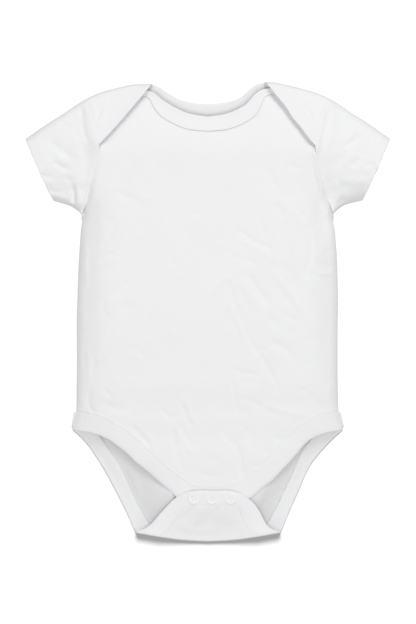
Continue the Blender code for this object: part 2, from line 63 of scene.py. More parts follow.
FOLD_HEIGHT = 4.2  # height of the outermost line of a fold
FOLD_REACH = 4.5  # the underside leaves the table this far inside a fold
ROLL_RISE = 4.0  # how much the upper cloth climbs in its first FOLD_REACH
LOFT_REACH = 34.0  # the upper cloth has levelled out this far inside a fold
SLEEVE_CROWN = 12.0
SLEEVE_FROM = (84.0, 118.0)  # the body's loft turns into the sleeve's between these two
LAP_RAISE = 2.2  # the shoulder laps lie this much above the front
LAP_FADE = 14.0
FLAP_RAISE = 2.4  # the crotch flap's edge lies this much above the tab
SNAP_RAISE = 1.7  # and this much more over the snaps
SNAP_REACH = (6.8, 60.0)
SNAP_LINE = -154.0
SNAP_COUNT = 3
FLAP_ROLL = 1.0
TAB_LEAN = 3.4  # the crotch tab and flap lie this far off the middle line
LEAN_FROM = (-115.0, -60.0)
UNDERARM_ROW = 0.36  # share of the body's outer edge at the underarm
FRONT_START_ROW = 0.06  # the front's top corner lies this far down it
FRONT_START_CLEAR = 0.012
LAP_COLUMN = 0.60  # share of the back's top edge at the lap's corner
FLAP_COLUMN = 0.30  # share of its lower edge at the crotch fold's corner
FLAP_CORNER = 0.62  # share of the flap's seam at the corner of its end

SHOULDER_FOLD = table("x y", (46.5, 190.5), (59.3, 189.8), (77.0, 186.3), (100.6, 178.4), (126.0, 161.8),
    (151.5, 144.0))
BODY_SIDE = table("x y", (128.7, 93.4), (111.0, 87.4), (105.4, 81.8), (106.6, 68.0), (108.3, 50.0),
    (108.3, -60.0), (109.1, -81.8), (112.5, -97.5))
ARMHOLE = table("x y", (100.6, 178.4), (95.4, 162.5), (92.6, 148.5), (90.2, 138.8), (91.6, 127.0),
    (95.6, 110.0), (101.0, 92.0), (105.4, 81.8))
CROTCH_FOLD = table("x y", (0.0, -190.5), (24.0, -189.0), (40.5, -186.5), (60.5, -183.0))
FRONT_NECK = table("seam_x seam_y edge_x edge_y", (0.0, 150.6, 0.0, 163.1), (17.8, 152.6, 16.5, 166.0),
    (30.0, 157.6, 28.0, 170.9), (40.6, 165.2, 36.2, 176.2), (44.6, 171.5, 41.0, 180.6),
    (47.4, 177.8, 45.8, 184.0), (52.0, 180.6, 52.0, 185.4), (61.0, 178.2, 61.0, 183.8),
    (77.0, 171.6, 78.5, 178.2), (95.4, 162.5, 97.7, 169.6))
BACK_NECK = table("seam_x seam_y edge_x edge_y", (0.0, 160.6, 0.0, 173.1), (18.0, 162.4, 14.9, 174.7),
    (34.0, 168.6, 27.4, 178.9), (44.0, 174.8, 35.7, 184.7), (52.0, 182.0, 41.5, 188.8),
    (59.3, 189.8, 46.5, 190.5))
LAP_EDGE = table("seam_x seam_y edge_x edge_y", (59.3, 189.8, 46.5, 190.5), (64.6, 187.0, 50.8, 184.6),
    (76.2, 176.0, 62.0, 171.2), (85.6, 163.6, 75.0, 155.6), (92.6, 148.5, 90.2, 138.8))
FRONT_LEG = table("seam_x seam_y edge_x edge_y", (0.0, -146.2, 0.0, -160.6), (10.0, -146.0, 15.0, -160.2),
    (18.0, -143.8, 25.5, -156.8), (25.0, -139.3, 33.0, -151.3), (32.0, -134.2, 43.0, -143.0),
    (46.0, -122.4, 57.5, -130.5), (61.0, -107.2, 70.5, -117.2), (78.5, -93.4, 83.5, -105.8),
    (94.0, -85.6, 97.0, -100.0), (109.1, -81.8, 112.5, -97.5))
BACK_LEG = table("seam_x seam_y edge_x edge_y", (40.5, -186.5, 60.5, -183.0), (48.6, -175.6, 63.9, -174.7),
    (55.4, -164.0, 69.3, -161.4), (64.0, -146.5, 78.3, -143.8), (74.0, -126.0, 88.8, -124.9),
    (86.5, -106.0, 100.8, -108.3), (98.0, -92.5, 107.6, -101.6), (109.1, -81.8, 112.5, -97.5))
FLAP_EDGE = table("seam_x seam_y edge_x edge_y", (40.5, -186.5, 60.5, -183.0), (33.4, -179.8, 50.0, -177.2),
    (26.4, -169.0, 41.5, -166.0), (21.8, -162.0, 33.0, -155.8), (17.0, -160.4, 25.0, -150.0),
    (11.0, -160.2, 15.0, -147.4), (0.0, -160.2, 0.0, -147.3))
CROWNS = table("y height", (195.0, 10.5), (163.0, 11.0), (130.0, 14.0), (70.0, 15.6), (0.0, 16.0),
    (-55.0, 14.2), (-85.0, 11.8), (-110.0, 10.2), (-142.0, 8.4), (-195.0, 8.4))
LAP_CORNER = LAP_EDGE[-1].edge_y
UNDERARM = ARMHOLE[-1]

# ---- finer sizes, of the looks only
# Most rises and falls are pairs, a height and its reach. A pair whose name ends in _FROM, _TO, _START
# or _END says between which two places something sets in or ends.

CLOTH = 0.9  # one layer of knitted cloth
SLEEVE_CLOTH = 0.9 * CLOTH
BAND = 1.8  # a rib strip, folded double
HEM_DEPTH = 12.0
SLEEVE_CUT = (204.0, 75.0)
SIDE_WIDTH = 105.0  # half the body's width, for spacing its grid lines
BODY_LENGTH = 300.0
SEAM_GAP = 0.02  # from a seam's line to the front's and the back's edge
SEAM_TUCK = 0.35  # the band or sleeve beside it starts this much under that edge
SEAM_ROUND = 0.3  # and rounds down by this much
NECK_STEP = (0.8, 2.8)  # the front lies this much lower than its band at the neck's seam
FINE = 1.6  # distance between grid lines in open cloth
FINEST = 1.25  # and in the front, which has the most creases
ROLL_STEPS = [0.0, 0.12, 0.45, 0.95, 1.6, 2.4, 3.3, 4.3, 5.5]  # grid lines beside a fold
SEWN_STEPS = [0.0, 0.05, 0.4, 0.8, 1.2, 1.8, 2.4, 3.0, 3.7, 4.8]  # and beside a seam
CUFF_STEPS = [1.0, 2.2, 3.4]
UNDERARM_STEPS = [0.0, 1.0, 2.2]
BAND_STEPS = [0.0, 0.03, 0.08, 0.15, 0.25, 0.4375, 0.625, 0.8125, 1.0]  # shares of a band's width
THINNED = [0.36, 0.66, 0.86, 0.96]  # a band's share of its thickness at the first of them
GROOVE = (0.03, 0.6)  # depth of a seam's groove
ALLOWANCE = 0.18  # how far the seam allowance lifts the cloth beside the seam
ALLOWANCE_RISE = (0.0, 1.8)  # where beside the seam it rises and falls again
ALLOWANCE_FALL = (1.8, 3.0)
SEAM_START = (0.0, 3.0)  # a seam's relief sets in this far from a fold
HEM_STEP = (0.35, 0.6)  # the turned-in hem shows through as this much of a step
HEM_GROOVE = (0.25, 0.6)  # and its stitches draw the cloth in
HEM_STITCHED = 1.0  # this far from the hem's inner edge
STITCH_LINE = 2.0  # the topstitching's distance from its seam
EDGE_ROUND = 0.5  # a folded strip's edge stands out this share of half its thickness
EDGE_SIDES = 8
FLAP_DROP = (1.1, 1.7)  # the flap's free edge rolls over this much
FLAP_CURL = (0.4, 1.3)  # and stands up in a thin ridge
FLAP_SAG = (3.4, 9.0)  # the flap's sides sink towards the back
FLAP_SAG_FROM = (14.0, 34.0)
FLAP_PRESS = (-0.4, 2.0)  # the front stands up this much beside the flap's edge
FLAP_START = (2.0, 9.0)  # the flap's creases start this far from its fold
LAP_CURL = (1.8, 4.0)  # a lap's free edge stands up this much at its neck end
LAP_CURL_BELOW = 0.25  # and this share of it at its corner
LAP_CURL_LENGTH = 34.0
LAP_SLOPE = 13.0  # below the lap's corner the cloth comes down in this much
LAP_PRESS = (2.2, 4.2)  # and the front is pressed down under it
PRESS_START = (1.0, 6.0)
HELD_UP = 1.76  # the front is held up by the armhole's seam at the lap's corner
HELD_UP_REACH = 8.0
HELD_UP_TO = (-1.0, 5.0)  # measured up from the lap's corner
NECK_CURL = (0.7, 2.4)  # the front neck band's free edge curls up a little
NECK_LOW = 0.7  # and lies this much lower down the front than it was cut
NECK_LOW_REACH = 9.0
NECK_LOW_TO = (20.0, 45.0)
NECK_LIFT = (1.0, 8.0)  # and the back rises to meet it
NECK_LIFT_TO = (22.0, 42.0)
CROTCH_LOW = 0.5  # the crotch fold is this much lower in the middle
CROTCH_LOW_REACH = 34.0
LEG_CORNER_LOW = 0.68  # and the side folds at their ends beside the legs
LEG_CORNER = (-95.0, -62.0)
LEG_CORNER_SIDE = (60.0, 90.0)
LEG_SAG = (0.7, 12.0)  # the front's leg edges sink towards the back
LEG_SAG_FROM = (14.0, 34.0)
LEG_SAG_TO = (90.0, 108.0)
LEG_DROP = (0.9, 2.2)  # and roll over
LEG_DROP_TO = (84.0, 100.0)
LEG_RISE = (4.2, 15.0)  # and the back rises to meet them
LEG_RISE_START = (0.0, 9.0)
LEG_RISE_FROM = (20.0, 50.0)
LEG_RISE_LESS_FROM = (72.0, 92.0)
LEG_RISE_LOSS = 0.45
LEG_RISE_TO = (92.0, 108.0)
CREASE_DEPTH = 1.6  # the creases' heights below are taken this many times
SHADED_SIDE = (1.1, 2.2)  # creases of the front and sleeves are given by their shaded sides
CREASE_START = (1.5, 6.0)  # creases fade out towards a fold between these two
CREASE_END = (-0.12, 0.22)  # and towards their ends, in shares of their length
CREASE_TO_SEAM = (-1.5, 4.5)  # and the front's towards its neck and leg seams
SIDE_FULL = 1.5  # the torso's sides are rounded by this much more
SIDE_FULL_FROM = (-118.0, -70.0)
SIDE_FULL_TO = (150.0, 175.0)
SLACK = 0.75  # the front turns down to its sides more gently, by this share
SLACK_REACH = 20.0
SLEEVE_LOW = 3.9  # a sleeve's lower fold hangs this much lower than the other folds
SLEEVE_SLOPE = 22.0  # and its upper side slopes down to it over this much
RIGHT_LOW = 0.5  # the wearer's right one less so, by these shares
RIGHT_SLOPE = 0.17
LEFT_SLOPE = 0.62
SLEEVE_PUFF = (0.8, 9.0)
SLEEVE_PUFF_AT = 23.0
UNDERARM_CLEAR = 14.0  # the body's corner keeps the sleeve's fold up within this much
UNDERARM_TUCK = (3.0, 2.6)  # the armhole's seam sinks this deep towards the underarm
LEFT_TUCK = 0.25  # the wearer's left one by this share
UNDERARM_FROM = (88.0, 132.0)
ARM_SLUMP = (4.5, 17.0)  # towards the underarm the wearer's left armhole lies this much lower
ARM_SLUMP_START = (0.0, 15.0)
ARM_SLUMP_FROM = (94.0, 136.0)
GATHERED_TO = (0.0, 12.0)  # beside the armhole the front is gathered with the sleeve

FULLER = table("height y reach", (2.3, -134, 34), (2.2, 142, 40))  # the upper cloth stands higher here
NECK_SAG = table("height x y wide tall", (2.4, 0, 165, 34, 16))  # the front sinks to the back here
LEG_LIFT = table("height x y wide tall",  # the back rises beside the crotch in each leg opening
    (3.4, 37, -153, 16, 20), (2.38, 30, -151, 8, 9))
SEAM_SHIFT = table("height x y wide tall",  # the back's seam lies further in at the wearer's left leg
    (3.2, 82, -120, 14, 26))
RUMPLE_LAYERS = (0.8, 2.0, 3)  # how fast they fade, how much finer each is, and how many
RUMPLES = {  # height, size and seed of each piece's unevenness
    "front": (0.26, 26, 1), "front_fine": (0.12, 9, 2), "band": (0.15, 14, 3), "lap": (0.2, 18, 4),
    "lap_band": (0.12, 14, 5), "flap": (0.25, 14, 6), "underside": (0.5, 30, 7), "sleeve": (0.3, 16, 8),
    "sleeve_fine": (0.12, 7, 9)}
MIDDLE_EVEN = 0.65  # the front's finer unevenness is this much less in the middle
FINE_RUMPLE_FROM = (15.0, 75.0)

SETTLED_STIFFNESS = 0.25  # how strongly the cloth between the places below stays where it was cut
SETTLED = table("x y dx dy reach",  # how the garment lies off its even halves
    (-108, 40, 2.0, 0, 24), (-108, -58, -0.8, 0, 26), (108, 62, -1.6, 0, 20), (108, 32, -2.4, 0, 22),
    (108, -5, -1.7, 0, 22), (108, -60, -0.9, 0, 26), (-142, 125, -1.1, -0.2, 24), (142, 125, 0.7, 0, 24),
    (-112, 172, 0.5, -0.8, 12), (112, 172, -0.5, -0.8, 12), (-90, -126, -0.9, -0.4, 12),
    (-74, -152, -0.9, -0.4, 12), (-50, -134, 1.7, 1.9, 9), (-36, -147, 1.5, 1.8, 8), (-66, -119, 0.8, 0.8, 8),
    (66, -124, 1.2, -1.2, 9), (52, -138, 1.7, -1.9, 8), (37, -150, 1.4, -1.7, 7), (51, 185, 2.2, 1.5, 7),
    (60, 174, 1.6, 1.2, 8), (89, 140, -1.5, -1.2, 9), (-45, 180, -0.8, -1.0, 8), (42, 181, -1.4, 1.8, 7),
    (46, 174, -1.2, 0.6, 6), (0, 165, 0, 0, 20), (0, -155, 0, 0, 20), (-88, 141, 0, 0, 12),
    (-114, 90, 0, -1.2, 9))

FRONT_CREASES = table("height width points",  # soft ridges, height above 0, and troughs
    (0.35, 1.9, [(-5.3, 3.5), (0.7, 12.5), (5.7, 20.5), (10.7, 27), (15.7, 31), (19.5, 28.5)]),
    (-0.5, 1.6, [(20, 27.5), (21, 18.5), (22, 11.5), (25, 4.5), (28, -7)]),
    (0.35, 1.7, [(19, 12), (22, 4), (25, -4), (30, -15), (35, -24)]),
    (-0.5, 1.8, [(32, -12), (38, -24), (43, -31.5), (48, -38), (53, -46), (56, -54), (59, -62)]),
    (-0.5, 2.4, [(32, 35), (37, 29), (42, 22), (47, 15), (52, 8)]),
    (0.35, 2.6, [(26, 28), (32, 22), (37, 15), (43, 7)]),
    (0.4, 2.2, [(55, 36), (61, 29), (67, 21), (72, 14), (77, 7), (81, 0)]),
    (-0.25, 2.2, [(57, 24), (62, 17), (66, 10)]),
    (-0.3, 2, [(17, 53), (25, 48), (33, 45), (42, 43)]),
    (-0.35, 2.2, [(22, 72), (32, 66), (40, 60), (48, 56.5), (54, 55)]),
    (0.35, 2.4, [(28, 64), (38, 57), (47, 52), (56, 46), (62, 38), (65, 32)]),
    (-0.25, 2, [(50, 60), (53, 54), (55, 48)]),
    (-0.3, 2.4, [(60, 45), (63, 38), (69, 36)]),
    (-0.35, 2.8, [(57, 93), (60, 87), (64, 80)]),
    (0.25, 2.6, [(63, 95), (68, 89), (71, 81)]),
    (-0.4, 2.8, [(48, 121), (53, 115), (57, 106)]),
    (-0.25, 2.4, [(67, 125), (73, 122), (79, 121)]),
    (-0.2, 2.5, [(43, 78), (47, 72), (45, 66)]),
    (0.25, 2, [(70, 70), (72, 54), (74, 38), (74, 28)]),
    (-0.3, 2, [(75, 77), (77, 68), (77, 60)]),
    (-0.3, 2, [(80, 86), (80, 78)]),
    (-0.4, 2.2, [(84, 66), (86, 57), (86, 48), (83, 39), (82, 32)]),
    (1.0, 1.6, [(89.6, 133), (91, 122), (93.8, 110), (97.9, 93.4), (101.5, 83), (104.5, 75)]),
    (-0.4, 3.2, [(90, 45), (97, 40), (104, 38)]),
    (0.35, 1.9, [(90, 35), (97, 34.5), (105, 35)]),
    (-0.35, 2, [(85, 36), (89, 33), (92, 31)]),
    (-0.3, 2, [(97, 53), (104, 52)]),
    (0.25, 2.4, [(85, 31), (86, 24), (88, 17)]),
    (-0.4, 3, [(50, -25.5), (58, -24), (65, -27.5), (70, -33.5), (74, -40.5)]),
    (0.25, 2.1, [(53, -24), (56, -31), (60, -38)]),
    (-0.25, 1.9, [(42, -27), (51, -31)]),
    (-0.25, 1.6, [(50, 0), (55, -5), (60, -11)]),
    (-0.25, 2, [(64, 1), (70, -3), (75, -7)]),
    (-0.25, 2, [(86, 0), (94, -6)]),
    (-0.25, 1.8, [(84, -17), (87, -23)]),
    (-0.45, 1.8, [(22, -45), (29, -47.5), (37, -48.5), (45, -51)]),
    (-0.4, 1.6, [(22.5, -48), (22.5, -60), (23.5, -72), (25, -83)]),
    (0.2, 1.6, [(18.5, -44), (18.5, -58), (20, -74)]),
    (-0.25, 2.2, [(29, -55.5), (41, -55.5), (49, -59.5)]),
    (-0.3, 1.8, [(28, -69), (35, -70), (42, -74), (48, -77)]),
    (0.45, 2.4, [(47, -74.5), (59, -78), (71, -81.5), (83, -83.5)]),
    (-0.25, 1.7, [(27, -80.5), (34, -81.5), (36, -88)]),
    (-0.2, 2.2, [(33, -94), (38, -102)]),
    (-0.3, 2.4, [(84, -63), (92, -72), (100, -80)]),
    (-0.2, 2, [(76, -62), (84, -63)]),
    (0.35, 2.4, [(101, -58), (102, -72)]),
    (-0.7, 2.2, [(22, -104.5), (26.5, -111.5), (28, -121.5), (30, -130.5), (32.5, -138.5), (34, -145.5)]),
    (-0.25, 2, [(12, -95.5), (18, -102.5), (23, -107.5)]),
    (0.35, 2.4, [(31, -102.5), (35, -112.5), (37, -123.5)]),
    (-0.4, 2, [(57.5, -101), (63.5, -103.5), (70.5, -102)]),
    (-0.4, 2, [(44.5, -111.5), (51.5, -114), (58.5, -115.5)]),
    (-0.55, 2, [(38.5, -126), (44.5, -125.5), (49.5, -122)]),
    (-0.35, 2.4, [(-8.5, -131.5), (3.5, -133.5), (13.5, -134.5)]),
    (-0.15, 3, [(4, -120), (14, -121)]),
    (-0.35, 2.4, [(-72.5, 76), (-77.5, 71), (-80.5, 65), (-84.5, 58), (-87.5, 53)]),
    (-0.3, 2.2, [(-77, 52.5), (-84, 48.5), (-89, 44.5)]),
    (0.3, 2.3, [(-73, 46.5), (-81, 43.5), (-88, 39.5)]),
    (-0.35, 2.2, [(-63, 29.5), (-69, 24.5), (-75, 19.5), (-80, 13.5)]),
    (0.25, 2.4, [(-56, 24.5), (-61, 16.5), (-68, 9.5)]),
    (-0.25, 1.8, [(-85, 15), (-85, 5), (-82, -4)]),
    (0.25, 2.2, [(-37.5, 14.5), (-45.5, 2.5), (-52.5, -7.5), (-58.5, -18.5)]),
    (-0.25, 2.4, [(-76, 102.5), (-68, 98.5), (-60, 94.5)]),
    (0.2, 3, [(-58, 99.5), (-48, 96.5)]),
    (-0.2, 2.2, [(-34.5, 84.5), (-29.5, 80.5)]),
    (-0.2, 2.2, [(-11, 83), (-3, 86)]),
    (-0.2, 2, [(-29, 46), (-25, 39)]),
    (0.25, 1.6, [(-101, 62), (-100, 42), (-99.5, 20)]),
    (0.3, 1.7, [(-99, -28), (-97.5, -42), (-98, -54)]),
    (-0.3, 2, [(-93, -34), (-93.5, -48)]),
    (-0.5, 1.7, [(-95, -63), (-98, -69), (-97, -75), (-93, -82)]),
    (-0.3, 2.2, [(-85, -61), (-80, -67)]),
    (-0.25, 3.5, [(-86, -73), (-76, -77), (-66, -77)]),
    (0.15, 2.3, [(-79, -83), (-66, -82.5)]),
    (-0.4, 2.2, [(-62, -92), (-57, -97), (-53, -102), (-48, -107)]),
    (-0.15, 2.2, [(-59, -25.5), (-51, -34.5)]),
    (0.12, 2.4, [(-62, -30.5), (-54, -38.5)]),
    (0.35, 2, [(-18, -70.5), (-14.5, -78.5), (-12, -85.5), (-8, -90.5)]),
    (-0.3, 1.8, [(-22, -71.5), (-18.5, -78.5), (-16, -86.5), (-11, -92.5)]),
    (-0.4, 2, [(-28, -95.5), (-26.5, -103.5), (-26, -110.5)]),
    (0.3, 2, [(-25, -93), (-21, -101), (-17, -109), (-11, -115)]),
    (-0.3, 1.9, [(-22, -90), (-19, -98), (-15, -105)]),
    (-0.25, 1.7, [(-37.5, -79.5), (-30.5, -84), (-23.5, -84.5)]),
    (-0.3, 2.4, [(-25, -111), (-23, -120), (-20, -128)]),
    (0.25, 2.4, [(-48.5, -97.5), (-45.5, -105.5), (-43.5, -113.5)]),
    (-0.2, 2.2, [(-28, -60), (-25, -70)]))
SLEEVE_CREASES = table("height width points",  # the wearer's right sleeve, then the left one
    (-0.6, 1.9, [(-104.3, 174), (-103, 162), (-101.2, 151), (-97.5, 141)]),
    (-0.2, 2.5, [(-110, 164), (-107, 151), (-103, 139)]),
    (-0.35, 2, [(-125, 161), (-119, 159), (-113, 157)]),
    (-0.65, 3.2, [(-131, 145), (-124.7, 140), (-119, 135.5), (-110, 131)]),
    (-0.6, 2, [(-127, 126.5), (-121, 123.5), (-114, 120)]),
    (0.35, 3, [(-124, 132), (-117, 127), (-112, 125)]),
    (-0.4, 2.2, [(-138, 117), (-132, 115), (-127, 116)]),
    (0.4, 2.6, [(-134, 110), (-125, 109)]),
    (-0.4, 2, [(-117, 114.5), (-111, 111)]),
    (-0.35, 2, [(-131, 104.5), (-124, 102), (-119, 103.5)]),
    (0.45, 2.4, [(-131, 92.5), (-121, 95), (-114, 92)]),
    (-1.5, 2, [(-110.5, 108), (-110.2, 101), (-110.7, 96), (-111.8, 86)]),
    (-1.0, 2.6, [(-114.5, 96), (-114, 87)]),
    (0.5, 2.4, [(-107.5, 105), (-106, 98), (-104, 91)]),
    (-0.9, 5, [(-99, 140), (-99.5, 124), (-100.5, 108), (-103, 98)]),
    (-0.7, 2.4, [(101.5, 172), (99.4, 157.5), (97.1, 145.5), (95.3, 132)]),
    (-0.8, 2.2, [(126, 149), (120.6, 143.5), (113, 139)]),
    (-0.45, 4, [(112, 136), (109, 128), (105.9, 118), (101.5, 104)]),
    (0.4, 2.2, [(123, 134), (117, 129), (113, 122)]),
    (-0.6, 2.4, [(126, 129), (120, 123)]),
    (-0.6, 2, [(131, 124.5), (136.3, 124), (139, 117)]),
    (0.5, 3.6, [(111, 112), (122, 110.5), (134, 111.5)]),
    (-1.3, 2.8, [(115, 97), (112.5, 92), (111, 86)]),
    (0.5, 2.6, [(106, 112), (107.5, 103), (108, 94)]),
    (0.3, 3, [(103, 165), (104, 150), (102, 140)]))
LAP_CREASES = table("height width points",
    (0.3, 2, [(-84, 172), (-89, 163), (-92, 154)]),
    (-0.3, 2, [(-87, 170), (-91, 161), (-93, 152)]),
    (0.25, 2.5, [(80, 176), (86, 167), (90, 157)]),
    (-0.25, 2, [(84, 174), (89, 164), (92, 153)]))
FLAP_CREASES = table("height width points",
    (-0.3, 2, [(-15, -160), (-18, -166), (-23, -172)]),
    (0.35, 3, [(-8, -161), (-9, -170), (-14, -178)]),
    (-0.25, 2.5, [(4, -161), (2, -168), (3, -175)]),
    (0.3, 3, [(13, -161), (16, -169), (17, -177)]),
    (-0.3, 2.5, [(21, -160), (26, -167), (31, -174)]),
    (0.3, 3, [(-25, -176), (-10, -181), (8, -180)]))
UNDERSIDE_CREASES = table("height width points",  # all lift the cloth off the table a little
    (0.5, 3, [(-66, -128), (-60, -142), (-57, -156)]),
    (0.4, 2.5, [(52, -140), (58, -148), (62, -158)]),
    (0.9, 4, [(-62, 96), (-44, 78), (-31, 52), (-26, 24)]),
    (0.7, 3.5, [(30, 120), (44, 96), (49, 66), (46, 38)]),
    (0.8, 4, [(70, 60), (58, 34), (52, 4), (55, -24)]),
    (0.6, 3, [(-76, 20), (-60, 2), (-50, -22), (-47, -46)]),
    (0.9, 5, [(4, 10), (10, -20), (4, -52), (9, -82)]),
    (0.7, 3.5, [(-30, -60), (-20, -88), (-24, -116)]),
    (0.6, 3, [(34, -58), (28, -86), (35, -112), (30, -138)]),
    (0.7, 4, [(-52, -92), (-40, -112), (-34, -138), (-26, -160)]),
    (0.8, 4, [(62, -92), (54, -118), (46, -142), (40, -160)]),
    (0.6, 3, [(-20, 140), (-4, 128), (18, 130), (36, 142)]),
    (0.7, 4, [(110, 150), (122, 136), (128, 118)]),
    (0.6, 3.5, [(-136, 138), (-122, 130), (-110, 114)]),
    (0.5, 3, [(8, -165), (-2, -174), (-14, -180)]))

# ---- curves

STEPS = 10  # points between two of a curve's given ones


def unit(vectors):
    return vectors / np.maximum(np.linalg.norm(vectors, axis=-1, keepdims=True), 1e-9)


def run(points, axis=0):
    """Distance run along an axis of a line or a grid."""
    steps = np.linalg.norm(np.diff(points, axis=axis), axis=-1)
    zero = np.zeros_like(np.take(steps, [0], axis=axis))
    return np.concatenate([zero, np.cumsum(steps, axis=axis)], axis=axis)


def read_off(at, along, points):
    """Points of a line at some distances along it."""
    return np.stack([np.interp(at, along, column) for column in points.T], axis=-1)


def flow(points):
    """Close points along a smooth curve through the given ones."""
    points = np.asarray(points, float)
    spans = np.diff(points, axis=0)
    lengths = np.linalg.norm(spans, axis=1)[:, None]
    ways = spans / lengths
    pull = ways / lengths
    turn = unit(np.vstack([ways[:1], pull[:-1] + pull[1:], ways[-1:]]))
    t = np.arange(STEPS)[:, None] / STEPS
    start, end = 2 * t ** 3 - 3 * t ** 2 + 1, 3 * t ** 2 - 2 * t ** 3
    leave, arrive = t ** 3 - 2 * t ** 2 + t, t ** 3 - t ** 2
    dense = [points[i] * start + points[i + 1] * end
             + lengths[i] * (turn[i] * leave + turn[i + 1] * arrive) for i in range(len(spans))]
    return np.vstack(dense + [points[-1:]])


class Path:
    """A planar curve through close points, read by the share of its length."""

    def __init__(self, points):
        self.points = np.asarray(points, float)
        self.along = run(self.points)
        self.length = self.along[-1]

    def at(self, share):
        return read_off(np.clip(share, 0, 1) * self.length, self.along, self.points)

    def distance(self, x, y):
        here = np.stack([np.abs(x), y], axis=-1)
        best = np.full(np.shape(x), np.inf)
        for a, b in zip(self.points, self.points[1:]):
            way = b - a
            part = np.clip((here - a) @ way / (way @ way), 0, 1)
            best = np.minimum(best, np.linalg.norm(here - a - part[..., None] * way, axis=-1))
        return best


class Band:
    """A strip between two curves: the seam that holds it and its free edge."""

    def __init__(self, rows):
        self.seam = Path(flow([(row.seam_x, row.seam_y) for row in rows]))
        self.free = Path(flow([(row.edge_x, row.edge_y) for row in rows]))

    def edge_at(self, share):
        """Points of the free edge that lie across from shares of the seam."""
        numbers = np.arange(len(self.free.points))
        here = np.interp(share * self.seam.length, self.seam.along, numbers)
        return read_off(here, numbers, self.free.points)

    def flat(self, shares):
        """Flat points, seam to edge down the rows, stopping the edge's rounding short of it."""
        seam, edge = self.seam.at(shares), self.edge_at(shares)
        wide = np.linalg.norm(edge - seam, axis=-1)
        across = (wide - EDGE_ROUND * BAND / 2) * np.array(BAND_STEPS)[:, None] / wide
        across = np.concatenate([-SEAM_TUCK / wide[None], across])
        return seam + (edge - seam) * across[..., None]


def stretch(rows, first, last):
    """The part of an outline between two of its rows, in either direction."""
    dense = flow(rows)
    if first <= last:
        return Path(dense[first * STEPS:last * STEPS + 1])
    return Path(dense[last * STEPS:first * STEPS + 1][::-1])


def joined(corner, first, second):
    """One boundary made of two paths, with their corner at a set share."""
    def at(share):
        share = np.asarray(share)
        return np.where((share <= corner)[..., None], first.at(share / corner),
                        second.at((share - corner) / (1 - corner)))
    return at


def line(start, end):
    return Path([start, end]).at


SHOULDER = stretch(SHOULDER_FOLD, 0, 5)
SHOULDER_SEWN = stretch(SHOULDER_FOLD, 1, 3)
SLEEVE_TOP = stretch(SHOULDER_FOLD, 3, 5)
SIDE = stretch(BODY_SIDE, 0, 7)
SIDE_SEAM = stretch(BODY_SIDE, 2, 6)
SLEEVE_BOTTOM = stretch(BODY_SIDE, 2, 0)
CUFF = Path([SLEEVE_TOP.points[-1], SLEEVE_BOTTOM.points[-1]])
ARM_SEAM = stretch(ARMHOLE, 0, 7)
LAP_ARM_SEAM = stretch(ARMHOLE, 0, 2)
CROTCH = stretch(CROTCH_FOLD, 0, 3)
CROTCH_SEWN = stretch(CROTCH_FOLD, 0, 2)
NECK_FRONT, NECK_BACK, LAP = Band(FRONT_NECK), Band(BACK_NECK), Band(LAP_EDGE)
LEG_FRONT, LEG_BACK, FLAP = Band(FRONT_LEG), Band(BACK_LEG), Band(FLAP_EDGE)


# ---- heights

def ease(low, high, value):
    """0 below, 1 above, and a smooth rise in between."""
    t = np.clip((value - low) / (high - low), 0, 1)
    return t * t * (3 - 2 * t)


def swell(distance, reach):
    """0 with an upright start at a fold, 1 where the cloth has turned level."""
    left = 1 - np.minimum(distance / reach, 1)
    return np.sqrt(1 - left * left)


def hump(distance, height, reach):
    """A height on a line, fading softly to nothing beside it."""
    return height * np.exp(-(distance / reach) ** 2)


def humps(x, y, rows):
    """Height of soft humps, alike at both sides."""
    return sum(hump(np.abs(x) - row.x, row.height, row.wide) * hump(y - row.y, 1, row.tall) for row in rows)


def rolled_edge(distance, drop, roll):
    return drop * (1 - np.minimum(distance / roll, 1)) ** 2


def crown_height(y):
    """Height of the upper cloth along the middle line."""
    height = np.full(np.shape(y), CROWNS[-1].height)
    for upper, lower in zip(CROWNS, CROWNS[1:]):
        here = lower.height + (upper.height - lower.height) * ease(lower.y, upper.y, y)
        height = np.where((y >= lower.y) & (y <= upper.y), here, height)
    return height


def fold_distance(x, y):
    return np.minimum(SHOULDER.distance(x, y), SIDE.distance(x, y))


def away_from_folds(x, y):
    return ease(*CREASE_START, fold_distance(x, y))


def fold_height(x, y):
    """Height of the side folds' outermost line, which comes down towards the legs."""
    down = (1 - ease(*LEG_CORNER, y)) * ease(*LEG_CORNER_SIDE, np.abs(x))
    return FOLD_HEIGHT * (1 - LEG_CORNER_LOW * down)


def low_middle(x, y):
    """The crotch's fold lies lower in the middle than at its corners."""
    middle = np.maximum(1 - (x / CROTCH_FOLD[2].x) ** 2, 0)
    return 1 - CROTCH_LOW * middle * (1 - ease(0, CROTCH_LOW_REACH, CROTCH.distance(x, y)))


def under_face(x, y):
    near = np.minimum(fold_distance(x, y), CROTCH.distance(x, y))
    return fold_height(x, y) * (1 - swell(near, FOLD_REACH)) * low_middle(x, y)


def upper_face(x, y):
    near = fold_distance(x, y)
    body = crown_height(y)
    crown = body + (np.minimum(SLEEVE_CROWN, body) - body) * ease(*SLEEVE_FROM, np.abs(x))
    crown = crown + sum(hump(y - row.y, row.height, row.reach) for row in FULLER)
    full = ease(*SIDE_FULL_FROM, y) * (1 - ease(*SIDE_FULL_TO, y))
    base = fold_height(x, y)
    rise = ROLL_RISE + SIDE_FULL * full
    loft = 1 - (1 - np.minimum(near / LOFT_REACH, 1)) ** 2
    return base + rise * swell(near, FOLD_REACH + SIDE_FULL * full) \
        + np.maximum(crown + full - base - rise, 0) * loft


